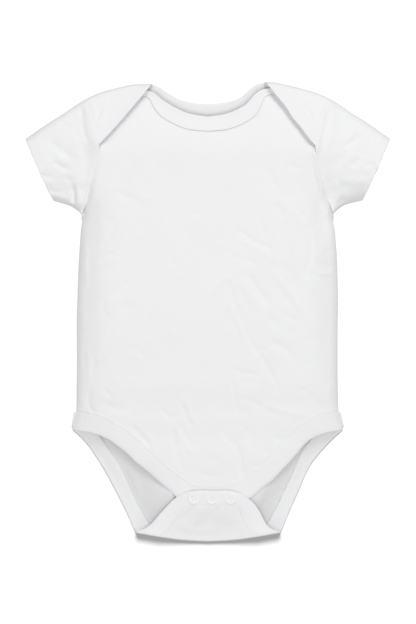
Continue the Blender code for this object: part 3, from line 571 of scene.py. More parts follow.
def lap_face(x, y):
    """A shoulder lap's outer face; its free edge stands up a little, most at the neck."""
    upright = LAP_CURL_BELOW + (1 - LAP_CURL_BELOW) * ease(LAP_CORNER, LAP_CORNER + LAP_CURL_LENGTH, y)
    curl = hump(LAP.free.distance(x, y), *LAP_CURL) * upright
    return upper_face(x, y) + (LAP_RAISE + curl) * swell(fold_distance(x, y), FOLD_REACH / 2)


def off_underarm(x, y):
    """0 at the underarm, 1 further out along a sleeve."""
    return ease(0, UNDERARM_CLEAR, np.hypot(np.abs(x) - UNDERARM.x, y - UNDERARM.y))


def sleeve_low(x):
    return SLEEVE_LOW * np.where(x < 0, RIGHT_LOW, 1.0)


def low_fold(x, y):
    """How much lower than elsewhere the fold along a sleeve's lower side lies."""
    return sleeve_low(x) * (1 - ease(0, SLEEVE_SLOPE, SLEEVE_BOTTOM.distance(x, y))) * off_underarm(x, y)


def gathered_under_arm(x, y, top):
    """How far the cloth falls to a sleeve's lower fold, and sinks along the armhole's seam."""
    low = SLEEVE_BOTTOM.distance(x, y)
    slope = SLEEVE_SLOPE * np.where(x < 0, RIGHT_SLOPE, LEFT_SLOPE)
    fall = (top - FOLD_HEIGHT + sleeve_low(x)) * (1 - swell(low, slope)) * off_underarm(x, y)
    tuck = hump(ARM_SEAM.distance(x, y), *UNDERARM_TUCK) * np.where(x < 0, 1.0, LEFT_TUCK)
    tuck = tuck * (1 - ease(*UNDERARM_FROM, y)) * ease(*SEAM_START, fold_distance(x, y))
    return fall + tuck - hump(low - SLEEVE_PUFF_AT, *SLEEVE_PUFF)


def slump(x, y):
    """How much lower the wearer's left armhole lies towards the underarm."""
    low = hump(ARM_SEAM.distance(x, y), *ARM_SLUMP) * ease(*ARM_SLUMP_START, fold_distance(x, y))
    return low * (1 - ease(*ARM_SLUMP_FROM, y)) * (x > 0)


def beside_lap(y):
    """1 where the armhole runs beside the lap, 0 below the lap's corner."""
    return ease(LAP_CORNER - LAP_SLOPE, LAP_CORNER + 1, y)


def front_top(x, y):
    """The front's form without its seams and creases: it sags, is held up and is pressed down."""
    top = upper_face(x, y)
    arm = ARM_SEAM.distance(x, y)
    leg = ease(*LEG_SAG_FROM, np.abs(x)) * (1 - ease(*LEG_SAG_TO, np.abs(x)))
    sag = humps(x, y, NECK_SAG) + hump(LEG_FRONT.free.distance(x, y), *LEG_SAG) * leg
    slack = SLACK * (top - FOLD_HEIGHT) * (1 - swell(SIDE.distance(x, y), SLACK_REACH))
    held_up = HELD_UP * beside_lap(y) * (1 - ease(*HELD_UP_TO, y - LAP_CORNER)) \
        * (1 - ease(0, HELD_UP_REACH, arm))
    pressed = hump(LAP.free.distance(x, y), *LAP_PRESS) + hump(FLAP.free.distance(x, y), *FLAP_PRESS)
    low = gathered_under_arm(x, y, top) * (1 - ease(*GATHERED_TO, arm)) + slump(x, y)
    return top + held_up - low - pressed * ease(*PRESS_START, fold_distance(x, y)) - sag - slack


def sleeve_face(x, y):
    top = upper_face(x, y)
    fade = 1 - ease(0, LAP_FADE, ARM_SEAM.distance(x, y))
    top = top + (lap_face(x, y) - top) * beside_lap(y) * fade
    return top - gathered_under_arm(x, y, top) - slump(x, y)


def flap_face(x, y):
    over_snaps = 1 - ease(*SNAP_REACH, np.abs(y - SNAP_LINE))
    level = upper_face(x, y) + FLAP_RAISE + SNAP_RAISE * over_snaps
    rolled = FOLD_HEIGHT + (level - FOLD_HEIGHT) * swell(CROTCH.distance(x, y), FLAP_ROLL)
    return rolled * low_middle(x, y)


def groove(distance):
    return hump(distance, *GROOVE)


def sewn(distance):
    """Relief beside a seam: its groove, then the cloth lifted by the allowance under it."""
    lifted = ease(*ALLOWANCE_RISE, distance) - ease(*ALLOWANCE_FALL, distance)
    return ALLOWANCE * lifted - groove(distance)


def creased(creases, x, y):
    """Height that a table of creases adds at each point."""
    total = np.zeros(np.shape(x))
    for crease in creases:
        path = Path(flow(crease.points))
        reach = 3 * crease.width  # where next to nothing is left of it
        low, high = path.points.min(0) - reach, path.points.max(0) + reach
        near = (x > low[0]) & (x < high[0]) & (y > low[1]) & (y < high[1])
        if not near.any():
            continue
        here = np.stack([x[near], y[near]], axis=-1)
        best = np.full(len(here), np.inf)
        share = np.zeros(len(here))
        for a, b, start in zip(path.points, path.points[1:], path.along):
            way = b - a
            part = (here - a) @ way / (way @ way)
            if start > 0 and b is not path.points[-1]:
                part = np.clip(part, 0, 1)
            gap = np.linalg.norm(here - a - np.clip(part, 0, 1)[:, None] * way, axis=-1)
            closer = gap < best
            best = np.where(closer, gap, best)
            share = np.where(closer, (start + part * np.linalg.norm(way)) / path.length, share)
        fade = ease(*CREASE_END, share) * ease(*CREASE_END, 1 - share)
        total[near] += hump(best, CREASE_DEPTH * crease.height, crease.width) * fade
    return total


def rumpled(x, y, which):
    """Slight unevenness that no cloth is without."""
    height, size, seed = RUMPLES[which]
    rough = [noise.fractal(Vector((a / size, b / size, seed)), *RUMPLE_LAYERS)
             for a, b in zip(np.ravel(x), np.ravel(y))]
    return height * np.reshape(rough, np.shape(x))


# ---- laying out: each takes flat points of the cut and gives points of the piece's face

def tab_lean(x, y):
    return TAB_LEAN * (1 - (x / BODY_SIDE[-1].x) ** 2) * (1 - ease(*LEAN_FROM, y))


def flap_lean(x, y):
    return TAB_LEAN * ease(CROTCH_FOLD[-1].y, SNAP_LINE, y)


def no_lean(x, y):
    return np.zeros(np.shape(x))


def laid(flat, lean=no_lean):
    """Where flat points of the cut come to lie on the table."""
    x, y = flat[..., 0], flat[..., 1]
    x = x + lean(x, y)
    total = np.full(np.shape(x), SETTLED_STIFFNESS)
    shift = np.zeros(np.shape(flat))
    for spot in SETTLED:
        weight = np.exp(-((x - spot.x) ** 2 + (y - spot.y) ** 2) / spot.reach ** 2)
        total = total + weight
        shift = shift + weight[..., None] * (spot.dx, spot.dy)
    return np.stack([x, y], axis=-1) + shift / total[..., None]


def front_seams(x, y):
    return np.minimum(NECK_FRONT.seam.distance(x, y), LEG_FRONT.seam.distance(x, y))


def front_surface(flat):
    x, y = flat[..., 0], flat[..., 1]
    out = laid(flat, tab_lean)
    seams = front_seams(x, y)
    z = front_top(x, y) + sewn(np.minimum(seams, ARM_SEAM.distance(x, y))) \
        - hump(NECK_FRONT.seam.distance(x, y), *NECK_STEP)
    shaded = out + SHADED_SIDE
    wrinkles = creased(FRONT_CREASES, shaded[..., 0], shaded[..., 1]) + rumpled(x, y, "front") \
        + rumpled(x, y, "front_fine") * (1 - MIDDLE_EVEN * (1 - ease(*FINE_RUMPLE_FROM, np.abs(x))))
    return np.dstack([out, z + wrinkles * away_from_folds(x, y) * ease(*CREASE_TO_SEAM, seams)])


def front_band_surface(flat):
    x, y = flat[..., 0], flat[..., 1]
    neck = NECK_FRONT.free.distance(x, y)
    drop = rolled_edge(LEG_FRONT.free.distance(x, y), *LEG_DROP)
    z = front_top(x, y) - groove(front_seams(x, y)) + hump(neck, *NECK_CURL) \
        - drop * (1 - ease(*LEG_DROP_TO, np.abs(x)))
    out = laid(flat, tab_lean)
    out[..., 1] -= NECK_LOW * (1 - ease(0, NECK_LOW_REACH, neck)) * (1 - ease(*NECK_LOW_TO, np.abs(x)))
    return np.dstack([out, z + rumpled(x, y, "band") * away_from_folds(x, y)])


def lap_surface(flat):
    x, y = flat[..., 0], flat[..., 1]
    seams = np.minimum(LAP.seam.distance(x, y), ARM_SEAM.distance(x, y))
    z = lap_face(x, y) + sewn(seams) * ease(*SEAM_START, fold_distance(x, y))
    wrinkles = creased(LAP_CREASES, x, y) + rumpled(x, y, "lap")
    return np.dstack([laid(flat), z + wrinkles * away_from_folds(x, y)])


def lap_band_surface(flat):
    x, y = flat[..., 0], flat[..., 1]
    relief = rumpled(x, y, "lap_band") - groove(LAP.seam.distance(x, y))
    return np.dstack([laid(flat), lap_face(x, y) + relief * away_from_folds(x, y)])


def flap_surface(flat):
    x, y = flat[..., 0], flat[..., 1]
    inside = ease(*FLAP_START, CROTCH.distance(x, y))
    free = FLAP.free.distance(x, y)
    sides = hump(free, *FLAP_SAG) * ease(*FLAP_SAG_FROM, np.abs(x))
    edge = hump(free - FLAP_DROP[1], *FLAP_CURL) - sides - rolled_edge(free, *FLAP_DROP)
    wrinkles = creased(FLAP_CREASES, x, y) + rumpled(x, y, "flap")
    z = flap_face(x, y) - groove(FLAP.seam.distance(x, y)) + (edge + wrinkles) * inside
    return np.dstack([laid(flat, flap_lean), z])


def risen(x, y):
    """How far the back rises to the front inside the neck and the leg openings."""
    side = np.abs(x)
    neck = hump(NECK_FRONT.free.distance(x, y), *NECK_LIFT) * (1 - ease(*NECK_LIFT_TO, side))
    leg = hump(LEG_FRONT.free.distance(x, y), *LEG_RISE) * ease(*LEG_RISE_FROM, side) \
        * (1 - LEG_RISE_LOSS * ease(*LEG_RISE_LESS_FROM, side)) * (1 - ease(*LEG_RISE_TO, side)) \
        * ease(*LEG_RISE_START, LEG_BACK.free.distance(x, y))
    return neck + leg + humps(x, y, LEG_LIFT)


def under_surface(flat):
    """The face that lies on the table: flat, but for creases and rises that lift it."""
    x, y = flat[..., 0], flat[..., 1]
    lift = np.maximum(creased(UNDERSIDE_CREASES, x, y) + rumpled(x, y, "underside"), 0) + risen(x, y)
    inside = np.minimum(away_from_folds(x, y), ease(*CREASE_START, CROTCH.distance(x, y)))
    out = laid(flat)
    out[..., 0] -= humps(x, y, SEAM_SHIFT) * (x > 0)
    return np.dstack([out, under_face(x, y) + lift * inside])


def sleeve_surface(flat):
    x, y = flat[..., 0], flat[..., 1]
    cuff = CUFF.distance(x, y)
    step, reach = HEM_STEP
    hem = step * (1 - ease(-reach, reach, cuff - HEM_DEPTH)) \
        - hump(cuff - HEM_DEPTH + HEM_STITCHED, *HEM_GROOVE)
    shaded = flat + SHADED_SIDE
    wrinkles = creased(SLEEVE_CREASES, shaded[..., 0], shaded[..., 1]) + rumpled(x, y, "sleeve") \
        + rumpled(x, y, "sleeve_fine")
    z = sleeve_face(x, y) - groove(ARM_SEAM.distance(x, y))
    return np.dstack([laid(flat), z + (wrinkles + hem) * away_from_folds(x, y)])


def sleeve_under_surface(flat):
    """The underside of a sleeve, whose lower fold lies low."""
    below = under_surface(flat)
    below[..., 2] *= 1 - low_fold(flat[..., 0], flat[..., 1]) / FOLD_HEIGHT
    return below


# ---- grids

def lines(length, start, end, spacing=FINE):
    """Shares of a length for grid lines, close together beside its start and its end."""
    start, end = np.array(start), np.array(end)
    middle = length - start[-1] - end[-1]
    count = max(int(round(middle / spacing)), 2)
    open_cloth = start[-1] + middle * np.arange(1, count) / count
    return np.concatenate([start, open_cloth, length - end[::-1]]) / length


def four_sided(top, bottom, inner, outer, u, v):
    """Flat points inside four boundary curves, u outwards and v downwards."""
    u, v = np.meshgrid(u, v)
    a, b = u[..., None], v[..., None]
    ruled = top(u) * (1 - b) + bottom(u) * b + inner(v) * (1 - a) + outer(v) * a
    corners = (top(0.0) * (1 - a) + top(1.0) * a) * (1 - b) + (bottom(0.0) * (1 - a) + bottom(1.0) * a) * b
    return ruled - corners


def both_halves(half):
    """Columns from the wearer's right to left, from the half at +X with its middle column first."""
    return np.concatenate([half[:, :0:-1] * (-1, 1), half], axis=1)


def body_columns(spacing):
    """Shares from the middle outwards: the seams' and folds' own shares are among them."""
    inner = np.linspace(0, FLAP_COLUMN, int(FLAP_COLUMN * SIDE_WIDTH / spacing) + 1)
    middle = np.linspace(FLAP_COLUMN, LAP_COLUMN, int((LAP_COLUMN - FLAP_COLUMN) * SIDE_WIDTH / spacing) + 1)
    rest = 1 - LAP_COLUMN
    outer = LAP_COLUMN + rest * lines(rest * SIDE_WIDTH, [0.0], ROLL_STEPS, spacing)
    return np.concatenate([inner[:-1], middle[:-1], outer])


def outer_rows(spacing):
    """Shares down the body's outer edge: shoulder fold, armhole, underarm, side seam, leg."""
    arm = lines(ARM_SEAM.length, [0.0], UNDERARM_STEPS, spacing)
    below = lines(SIDE_SEAM.length, UNDERARM_STEPS, SEWN_STEPS, spacing)
    return np.concatenate([arm * UNDERARM_ROW, UNDERARM_ROW + (1 - UNDERARM_ROW) * below[1:]])


def pulled_in(flat, seam):
    """Draws a grid's last columns back from a seam that is sewn to another piece."""
    shifted = flat.copy()
    shifted[:, -1] -= (SEAM_GAP, 0) * seam[:, None]
    return shifted


def turned_in(points, out_sign, thickness, back):
    """Adds to the last row of a grid a round edge and the cloth turned back under it, back rows deep."""
    down = unit(np.gradient(points, axis=0))
    out = unit(np.cross(np.gradient(points, axis=1), np.gradient(points, axis=0))) * out_sign
    radius = thickness / 2
    centre = points[-1] - out[-1] * radius
    rows = [centre + radius * (out[-1] * math.cos(a) + down[-1] * EDGE_ROUND * math.sin(a))
            for a in np.linspace(0, math.pi, EDGE_SIDES + 1)[1:-1]]
    under = [points[i] - out[i] * thickness for i in range(len(points) - 1, len(points) - 1 - back, -1)]
    return np.concatenate([points, np.array(rows), np.array(under)], axis=0)


def spread_out(points):
    """A grid's own flat size, for the knit: millimetres along and down it."""
    return np.stack([run(points, 1).mean(0)[None].repeat(len(points), 0), run(points)], axis=-1)


# ---- meshes

def add_object(name, data):
    made = bpy.data.objects.new(name, data)
    bpy.context.scene.collection.objects.link(made)
    return made


def add_mesh(name, verts, faces, material, slot=None):
    """A smooth mesh from points in metres, attached to the garment's root body when a slot is given; the
    slot's name itself is not used.
    """
    mesh = bpy.data.meshes.new(name)
    mesh.from_pydata(verts, [], faces)
    mesh.shade_smooth()
    mesh.materials.append(material)
    made = add_object(name, mesh)
    if slot:
        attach(made, "root")
    return made


def piece(name, grids, material, slot, wall=0.0, weld=False):
    """A mesh of one or more grids, each (points, knit coordinates, flip, wrap)."""
    verts, faces, knit = [], [], []
    for points, flat, flip, wrap in grids:
        rows, columns = points.shape[:2]
        base = len(verts)
        verts += (points.reshape(-1, 3) * MM).tolist()
        for i in range(rows - 1):
            for j in range(columns if wrap else columns - 1):
                k = (j + 1) % columns
                quad = [(i, j, j), (i, k, j + 1), (i + 1, k, j + 1), (i + 1, j, j)]
                if flip:
                    quad = quad[::-1]
                faces.append([base + r * columns + c for r, c, _ in quad])
                knit += [flat[r, min(f, flat.shape[1] - 1)] for r, _, f in quad]
    made = add_mesh(name, verts, faces, material, slot)
    mesh = made.data
    mesh.uv_layers.new(name="knit").data.foreach_set("uv", (np.array(knit) * MM).astype(np.float32).ravel())
    if weld:
        work = bmesh.new()
        work.from_mesh(mesh)
        bmesh.ops.remove_doubles(work, verts=work.verts, dist=0.01 * MM)
        work.to_mesh(mesh)
        work.free()
    if wall:
        thick = made.modifiers.new("wall", "SOLIDIFY")
        thick.thickness = wall * MM
        thick.offset = -1.0
        # the wall's inner faces take the reverse knit, whose darker tint is painted shade for the garment's
        # inside
        mesh.materials.append(SHADED_REVERSE)
        thick.material_offset = 1
    return made


def cut_area(*grids):
    """The flat area of pieces of the cut, in square metres."""
    total = 0.0
    for flat in grids:
        one, other = flat[1:, 1:] - flat[:-1, :-1], flat[1:, :-1] - flat[:-1, 1:]
        total += np.abs(one[..., 0] * other[..., 1] - one[..., 1] * other[..., 0]).sum() / 2
    return float(total) * MM * MM


def cut(made, node_name, area):
    """Hides the solid that a piece of cloth stands for; the area it was cut to is not used."""
    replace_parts(made, node_name)


# ---- shader maths

JERSEY_LOOP = (0.75, 0.62)  # width and height of a knitted loop
RIB_LOOP = (1.15, 0.6)
THREAD_PLY = 0.35
ROUGHNESS_RANGE = 0.08


class Socket:
    """A value or colour in a material; arithmetic on it adds the nodes."""

    def __init__(self, tree, link=None):
        self.tree = tree
        self.link = link

    def fill(self, made, values):
        """Sets a node's sockets, or links them where a value comes from another node."""
        for name, value in values.items():
            if isinstance(value, Socket):
                self.tree.links.new(value.link, made.inputs[name])
            else:
                made.inputs[name].default_value = value

    def node(self, kind, settings=None, values=None, out=0):
        """Adds a node: its settings first, then its sockets' values or links."""
        made = self.tree.nodes.new(kind)
        for name, value in (settings or {}).items():
            setattr(made, name, value)
        self.fill(made, values or {})
        return Socket(self.tree, made.outputs[out])

    def maths(self, operation, first, second=0.0):
        return self.node("ShaderNodeMath", {"operation": operation}, {0: first, 1: second})

    def place(self):
        return self.node("ShaderNodeTexCoord", out="Object")

    def speckle(self, scale, detail, roughness=0.5):
        """Noise fixed to the piece."""
        return self.node("ShaderNodeTexNoise", {},
                         {"Vector": self.place(), "Scale": scale, "Detail": detail, "Roughness": roughness})

    def mixed(self, dark, light):
        """A colour between two, by this value."""
        return self.node("ShaderNodeMix", {"data_type": "RGBA"}, {0: self, 6: dark, 7: light}, out=2)

    def split(self):
        """The first two numbers of a vector."""
        parts = self.node("ShaderNodeSeparateXYZ", {}, {0: self})
        return parts, Socket(self.tree, parts.link.node.outputs[1])

    def __add__(self, other):
        return self.maths("ADD", self, other)

    def __sub__(self, other):
        return self.maths("SUBTRACT", self, other)

    def __rsub__(self, other):
        return self.maths("SUBTRACT", other, self)

    def __mul__(self, other):
        return self.maths("MULTIPLY", self, other)

    def __truediv__(self, other):
        return self.maths("DIVIDE", self, other)

    def __rtruediv__(self, other):
        return self.maths("DIVIDE", other, self)

    def __pow__(self, other):
        return self.maths("POWER", self, other)

    def __mod__(self, other):
        return self.maths("FLOORED_MODULO", self, other)

    def __abs__(self):
        return self.maths("ABSOLUTE", self)

    def wave(self):
        """From 0 to 1 and back, once for each whole number."""
        return self.maths("SINE", self * (2 * math.pi)) * 0.5 + 0.5

    __radd__ = __add__
    __rmul__ = __mul__


def new_material(name):
    """A material, where its nodes start, and its shader."""
    made = bpy.data.materials.new(name)
    made.use_nodes = True
    return made, Socket(made.node_tree), made.node_tree.nodes["Principled BSDF"]


def finish_of(name, colour, roughness, mottle, height, strength, distance, sheen=0.0, coat=0.0):
    """A material whose tint varies by its mottle, with a fine relief from height(start, cloud)."""
    made, start, shader = new_material(name)
    cloud = start.speckle(38.0, 4.0, 0.6)
    dark, light = ([c * share for c in colour] + [1] for share in (1 - mottle, 1 + mottle))
    bump = start.node("ShaderNodeBump", {}, {"Strength": strength, "Distance": distance * MM,
                                             "Height": height(start, cloud)})
    start.fill(shader, {"Base Color": cloud.mixed(dark, light), "Normal": bump,
                        "Roughness": cloud * ROUGHNESS_RANGE + (roughness - ROUGHNESS_RANGE / 2),
                        "Sheen Weight": sheen,
                        "Sheen Roughness": 0.5, "Coat Weight": coat, "IOR": 1.45})
    made.diffuse_color = list(colour) + [1]
    return made


def knit_place(start, loop):
    """Where a point lies in the knit, in columns and rows of loops."""
    across, up = start.node("ShaderNodeUVMap", {"uv_map": "knit"}).split()
    return across / (loop[0] * MM), up / (loop[1] * MM)


def jersey(start, cloud):
    """Plain knit: columns of small V-shaped stitches."""
    across, up = knit_place(start, JERSEY_LOOP)
    side = abs(across % 1.0 - 0.5) * 2.0
    return (up + side * 0.55).wave() * 0.45 + (1.0 - side ** 2.0) * 0.55 + cloud * 0.25


def fine_rib(start, cloud):
    """Rib knit: raised columns of stitches side by side."""
    across, up = knit_place(start, RIB_LOOP)
    ridge = 1.0 - (abs(across % 1.0 - 0.5) * 2.0) ** 2.0
    return ridge * 0.8 + up.wave() * 0.2 + cloud * 0.2


def twisted(start, cloud):
    """Sewing thread: fine slanting plies."""
    across, up = start.place().split()
    return ((across + up) / (THREAD_PLY * MM)).wave()


def enamelled(start, cloud):
    """Painted metal: a faint orange peel."""
    return start.speckle(2600.0, 1.0)


COTTON = finish_of("white_cotton_knit", (0.87, 0.872, 0.88), 0.9, 0.012, jersey,
                   strength=0.25, distance=0.1, sheen=0.12)
RIB = finish_of("white_cotton_rib", (0.865, 0.867, 0.876), 0.88, 0.012, fine_rib,
                strength=0.35, distance=0.12, sheen=0.12)
THREAD = finish_of("white_thread", (0.885, 0.887, 0.893), 0.7, 0.01, twisted,
                   strength=0.3, distance=0.05, sheen=0.05)
# The knit's reverse side, on the cloth's inner faces: its darker tint is painted shade for the inside of the
# garment seen through the neck and leg openings
SHADED_REVERSE = finish_of("white_cotton_reverse_shaded", (0.76, 0.762, 0.77), 0.92, 0.012, jersey,
                    strength=0.3, distance=0.12, sheen=0.12)
ENAMEL = finish_of("white_enamel", (0.89, 0.89, 0.895), 0.5, 0.004, enamelled,
                   strength=0.05, distance=0.02, coat=0.1)


# ---- cloth pieces

def make_front():
    outer = joined(UNDERARM_ROW, ARM_SEAM, SIDE_SEAM)
    inner = line(NECK_FRONT.seam.at(0.0), LEG_FRONT.seam.at(0.0))
    beside_neck = FRONT_START_ROW + np.array(SEWN_STEPS) / BODY_LENGTH
    rows = outer_rows(FINEST)
    rows = np.concatenate([beside_neck[:-2], rows[rows > FRONT_START_ROW + FRONT_START_CLEAR]])
    v = (rows - FRONT_START_ROW) / (1 - FRONT_START_ROW)
    half = four_sided(NECK_FRONT.seam.at, LEG_FRONT.seam.at, inner,
                      lambda s: outer(FRONT_START_ROW + s * (1 - FRONT_START_ROW)), body_columns(FINEST), v)
    flat = both_halves(pulled_in(half, rows < UNDERARM_ROW))
    made = piece("front", [(front_surface(flat), flat, True, False)], COTTON, "body_cloth", CLOTH)
    cut(made, "front_panel", cut_area(flat))


def lap_grid(u, side, fold_line):
    corner = SHOULDER_SEWN.at(0.0)
    columns = (u[u >= LAP_COLUMN - 1e-9] - LAP_COLUMN) / (1 - LAP_COLUMN)
    flat = four_sided(SHOULDER_SEWN.at, LAP.seam.at, lambda s: corner + 0 * LAP_ARM_SEAM.at(s),
                      LAP_ARM_SEAM.at, columns, lines(LAP_ARM_SEAM.length, ROLL_STEPS, SEWN_STEPS))
    flat = pulled_in(flat, np.ones(len(flat))) * (side, 1)
    points = lap_surface(flat)
    points[0] = fold_line
    points[:, 0] = fold_line[0]
    return points, flat


def flap_grid(u, fold_line):
    inner = Path([CROTCH.at(0.0), FLAP.seam.at(1.0)])
    rows = lines(inner.length, ROLL_STEPS, SEWN_STEPS)
    half = four_sided(CROTCH_SEWN.at, lambda s: FLAP.seam.at(1 - s * (1 - FLAP_CORNER)), inner.at,
                      lambda s: FLAP.seam.at(s * FLAP_CORNER), u[u <= FLAP_COLUMN + 1e-9] / FLAP_COLUMN, rows)
    flat = both_halves(half)
    points = flap_surface(flat)
    points[0] = fold_line
    return points, flat


def make_back():
    """The back with its laps and its crotch flap, all in one piece of cloth."""
    top = joined(LAP_COLUMN, NECK_BACK.seam, SHOULDER_SEWN)
    bottom = joined(FLAP_COLUMN, CROTCH_SEWN, LEG_BACK.seam)
    outer = joined(UNDERARM_ROW, ARM_SEAM, SIDE_SEAM)
    u = body_columns(FINE)
    rows = outer_rows(FINE)
    start = np.array(ROLL_STEPS) / BODY_LENGTH
    rows = np.concatenate([start, rows[(rows > start[-1]) & (rows < 1 - start[-1])], 1 - start[::-1]])
    half = four_sided(top, bottom, line(NECK_BACK.seam.at(0.0), CROTCH.at(0.0)), outer, u, rows)
    flat = both_halves(pulled_in(half, rows < UNDERARM_ROW))
    points = under_surface(flat)
    middle = len(u) - 1
    lap_start = int(np.argmin(np.abs(u - LAP_COLUMN)))
    flap_end = int(np.argmin(np.abs(u - FLAP_COLUMN)))
    left_fold, right_fold = points[0, middle + lap_start:], points[0, :middle - lap_start + 1][::-1]
    left_fold[:, 2] = right_fold[:, 2] = FOLD_HEIGHT
    crotch = slice(middle - flap_end, middle + flap_end + 1)
    points[-1, crotch, 2] = FOLD_HEIGHT * low_middle(flat[-1, crotch, 0], flat[-1, crotch, 1])
    left, left_flat = lap_grid(u, 1, left_fold)
    right, right_flat = lap_grid(u, -1, right_fold)
    flap, flap_flat = flap_grid(u, points[-1, crotch])
    over = np.array([0, 2 * CROTCH_FOLD[0].y])
    grids = [(points, flat, False, False), (left, left_flat, True, False),
             (right, right_flat, False, False), (flap, flap_flat * (1, -1) + over, False, False)]
    made = piece("back", grids, COTTON, "body_cloth", CLOTH, weld=True)
    cut(made, "back_panel", cut_area(flat, left_flat, right_flat, flap_flat))
    return made


def make_sleeve(name, side, node_name):
    """A tube from the armhole to the cuff, its hem turned in."""
    around = lines(ARM_SEAM.length, ROLL_STEPS, ROLL_STEPS)
    flat = four_sided(ARM_SEAM.at, CUFF.at, SLEEVE_TOP.at, SLEEVE_BOTTOM.at, around,
                      lines(SLEEVE_TOP.length, SEWN_STEPS, CUFF_STEPS))
    flat[0] -= (SEAM_TUCK, 0)
    flat = flat * (side, 1)
    upper = sleeve_surface(flat)
    lower = sleeve_under_surface(flat[:, -2:0:-1])
    upper[0, :, 2] -= SEAM_ROUND
    lower[0, :, 2] += SEAM_ROUND
    upper[:, 0, 2] = FOLD_HEIGHT
    upper[:, -1, 2] = FOLD_HEIGHT - low_fold(flat[:, -1, 0], flat[:, -1, 1])
    tube = np.concatenate([upper, lower], axis=1)
    ends = np.concatenate([tube[:, -2:], tube, tube[:, :2]], axis=1)
    hemmed = turned_in(ends, side, BAND, int(HEM_DEPTH / FINE))[:, 2:-2]
    knit = spread_out(np.concatenate([hemmed, hemmed[:, :1]], axis=1))[..., ::-1]
    made = piece(name, [(hemmed, knit, side < 0, True)], COTTON, "body_cloth", SLEEVE_CLOTH)
    hem_area = SLEEVE_CUT[0] * HEM_DEPTH * MM * MM
    cut(made, node_name, 2 * cut_area(flat) + hem_area)


# ---- rib bands

def finish_band(name, outer, sign, node_name):
    """A band folded double; its first row lies under the edge of the cloth that it binds."""
    upwards = np.where(outer[1, :, 2] > FOLD_HEIGHT, 1.0, -1.0)
    outer[0, :, 2] -= upwards * SEAM_ROUND
    folded = turned_in(outer, sign, BAND, len(outer))
    for i, share in enumerate(THINNED):
        folded[-1 - i] = folded[i] + (folded[-1 - i] - folded[i]) * share
    knit = spread_out(folded)
    made = piece(name, [(folded, knit, sign < 0, False)], RIB, "rib_binding")
    cut(made, node_name, None)
    return made


def make_front_band(name, band, ends, sign, node_name):
    flat = both_halves(band.flat(lines(band.seam.length, [0.0], ends)))
    finish_band(name, front_band_surface(flat), sign, node_name)


def make_back_neck_band():
    """Round the back of the neck and over both shoulders down the laps."""
    neck = NECK_BACK.flat(lines(NECK_BACK.seam.length, [0.0], ROLL_STEPS))
    lap = LAP.flat(lines(LAP.seam.length, ROLL_STEPS, [0.0]))
    under = under_surface(both_halves(neck))
    under[:, [0, -1], 2] = FOLD_HEIGHT
    right = lap_band_surface(lap[:, ::-1] * (-1, 1))
    outer = np.concatenate([right[:, :-1], under, lap_band_surface(lap)[:, 1:]], axis=1)
    finish_band("back_neck_band", outer, -1, "back_neck_binding")


def make_back_leg_band():
    """Up one leg's back edge, round the crotch fold and the flap's edge, and up the other."""
    leg = LEG_BACK.flat(lines(LEG_BACK.seam.length, ROLL_STEPS, ROLL_STEPS))
    over = flap_surface(both_halves(FLAP.flat(1 - lines(FLAP.seam.length, [0.0], ROLL_STEPS))))
    left, right = under_surface(leg), under_surface(leg[:, ::-1] * (-1, 1))
    over[:, 0, :2], over[:, -1, :2] = right[:, -1, :2], left[:, 0, :2]
    over[:, [0, -1], 2] = FOLD_HEIGHT
    outer = np.concatenate([right[:, :-1], over, left[:, 1:]], axis=1)
    return finish_band("back_leg_band", outer, 1, "back_leg_binding")


# ---- stitching

STITCH_PITCH = 2.5
STITCH_LENGTH = 1.9
STITCH_RADIUS = 0.24
STITCH_SIDES = 6
STITCH_SUNK = 0.9  # share of the radius that is taken off the heights below
AIM = 0.3  # a line's direction is taken between places this far to both sides
AIM_SHARE = 0.004  # or, on a seam, this share of its length
PROBE = 0.25  # and a surface's slope over this much
STITCH_RINGS = table("along wide high", (-0.5, 0.05, 0.2), (-0.46, 0.45, 0.35), (-0.3, 0.85, 0.75),
    (0.0, 1.0, 1.0), (0.3, 0.85, 0.75), (0.46, 0.45, 0.35), (0.5, 0.05, 0.2))


def resampled(points, normals, pitch):
    """Points, directions and normals every pitch along a line."""
    along = run(points)
    count = max(int(along[-1] // pitch), 1)
    at = (np.arange(count) + 0.5) * along[-1] / count
    way = unit(read_off(at + AIM, along, points) - read_off(at - AIM, along, points))
    normal = read_off(at, along, normals)
    normal = unit(normal - (normal * way).sum(1)[:, None] * way)
    return read_off(at, along, points), way, normal


def stitches(name, seams):
    """Short threads end to end along lines on the cloth, each dipping into it at both ends."""
    turns = [2 * math.pi * k / STITCH_SIDES for k in range(STITCH_SIDES)]
    verts, faces = [], []
    for points, normals in seams:
        centre, way, normal = resampled(points, normals, STITCH_PITCH)
        for c, w, n, s in zip(centre, way, normal, np.cross(way, normal)):
            base = len(verts)
            for ring in STITCH_RINGS:
                middle = c + w * ring.along * STITCH_LENGTH + n * (ring.high - STITCH_SUNK) * STITCH_RADIUS
                verts += [(middle + (s * math.cos(a) + n * math.sin(a)) * ring.wide * STITCH_RADIUS) * MM
                          for a in turns]
            for a in range(base, len(verts) - STITCH_SIDES, STITCH_SIDES):
                for k in range(STITCH_SIDES):
                    m = (k + 1) % STITCH_SIDES
                    faces.append([a + k, a + m, a + STITCH_SIDES + m, a + STITCH_SIDES + k])
            faces.append(list(range(base, base + STITCH_SIDES))[::-1])
            faces.append(list(range(len(verts) - STITCH_SIDES, len(verts))))
    return add_mesh(name, [tuple(v) for v in verts], faces, THREAD, "body_cloth")


def seam_line(path, first, last, inward, surface, side, up, depth):
    """A line on a surface beside a seam, inward millimetres from it, with its normals."""
    shares = np.linspace(first, last, max(int(path.length * abs(last - first)), 6))
    way = unit(path.at(shares + AIM_SHARE) - path.at(shares - AIM_SHARE))
    inner = np.stack([-way[:, 1], way[:, 0]], axis=-1)
    flat = (path.at(shares) + inner * inward) * (side, 1)
    placed = surface(np.stack([flat, flat + (PROBE, 0), flat + (0, PROBE)], axis=1))
    normal = unit(np.cross(placed[:, 1] - placed[:, 0], placed[:, 2] - placed[:, 0]))
    return placed[:, 0] - normal * depth, normal * up


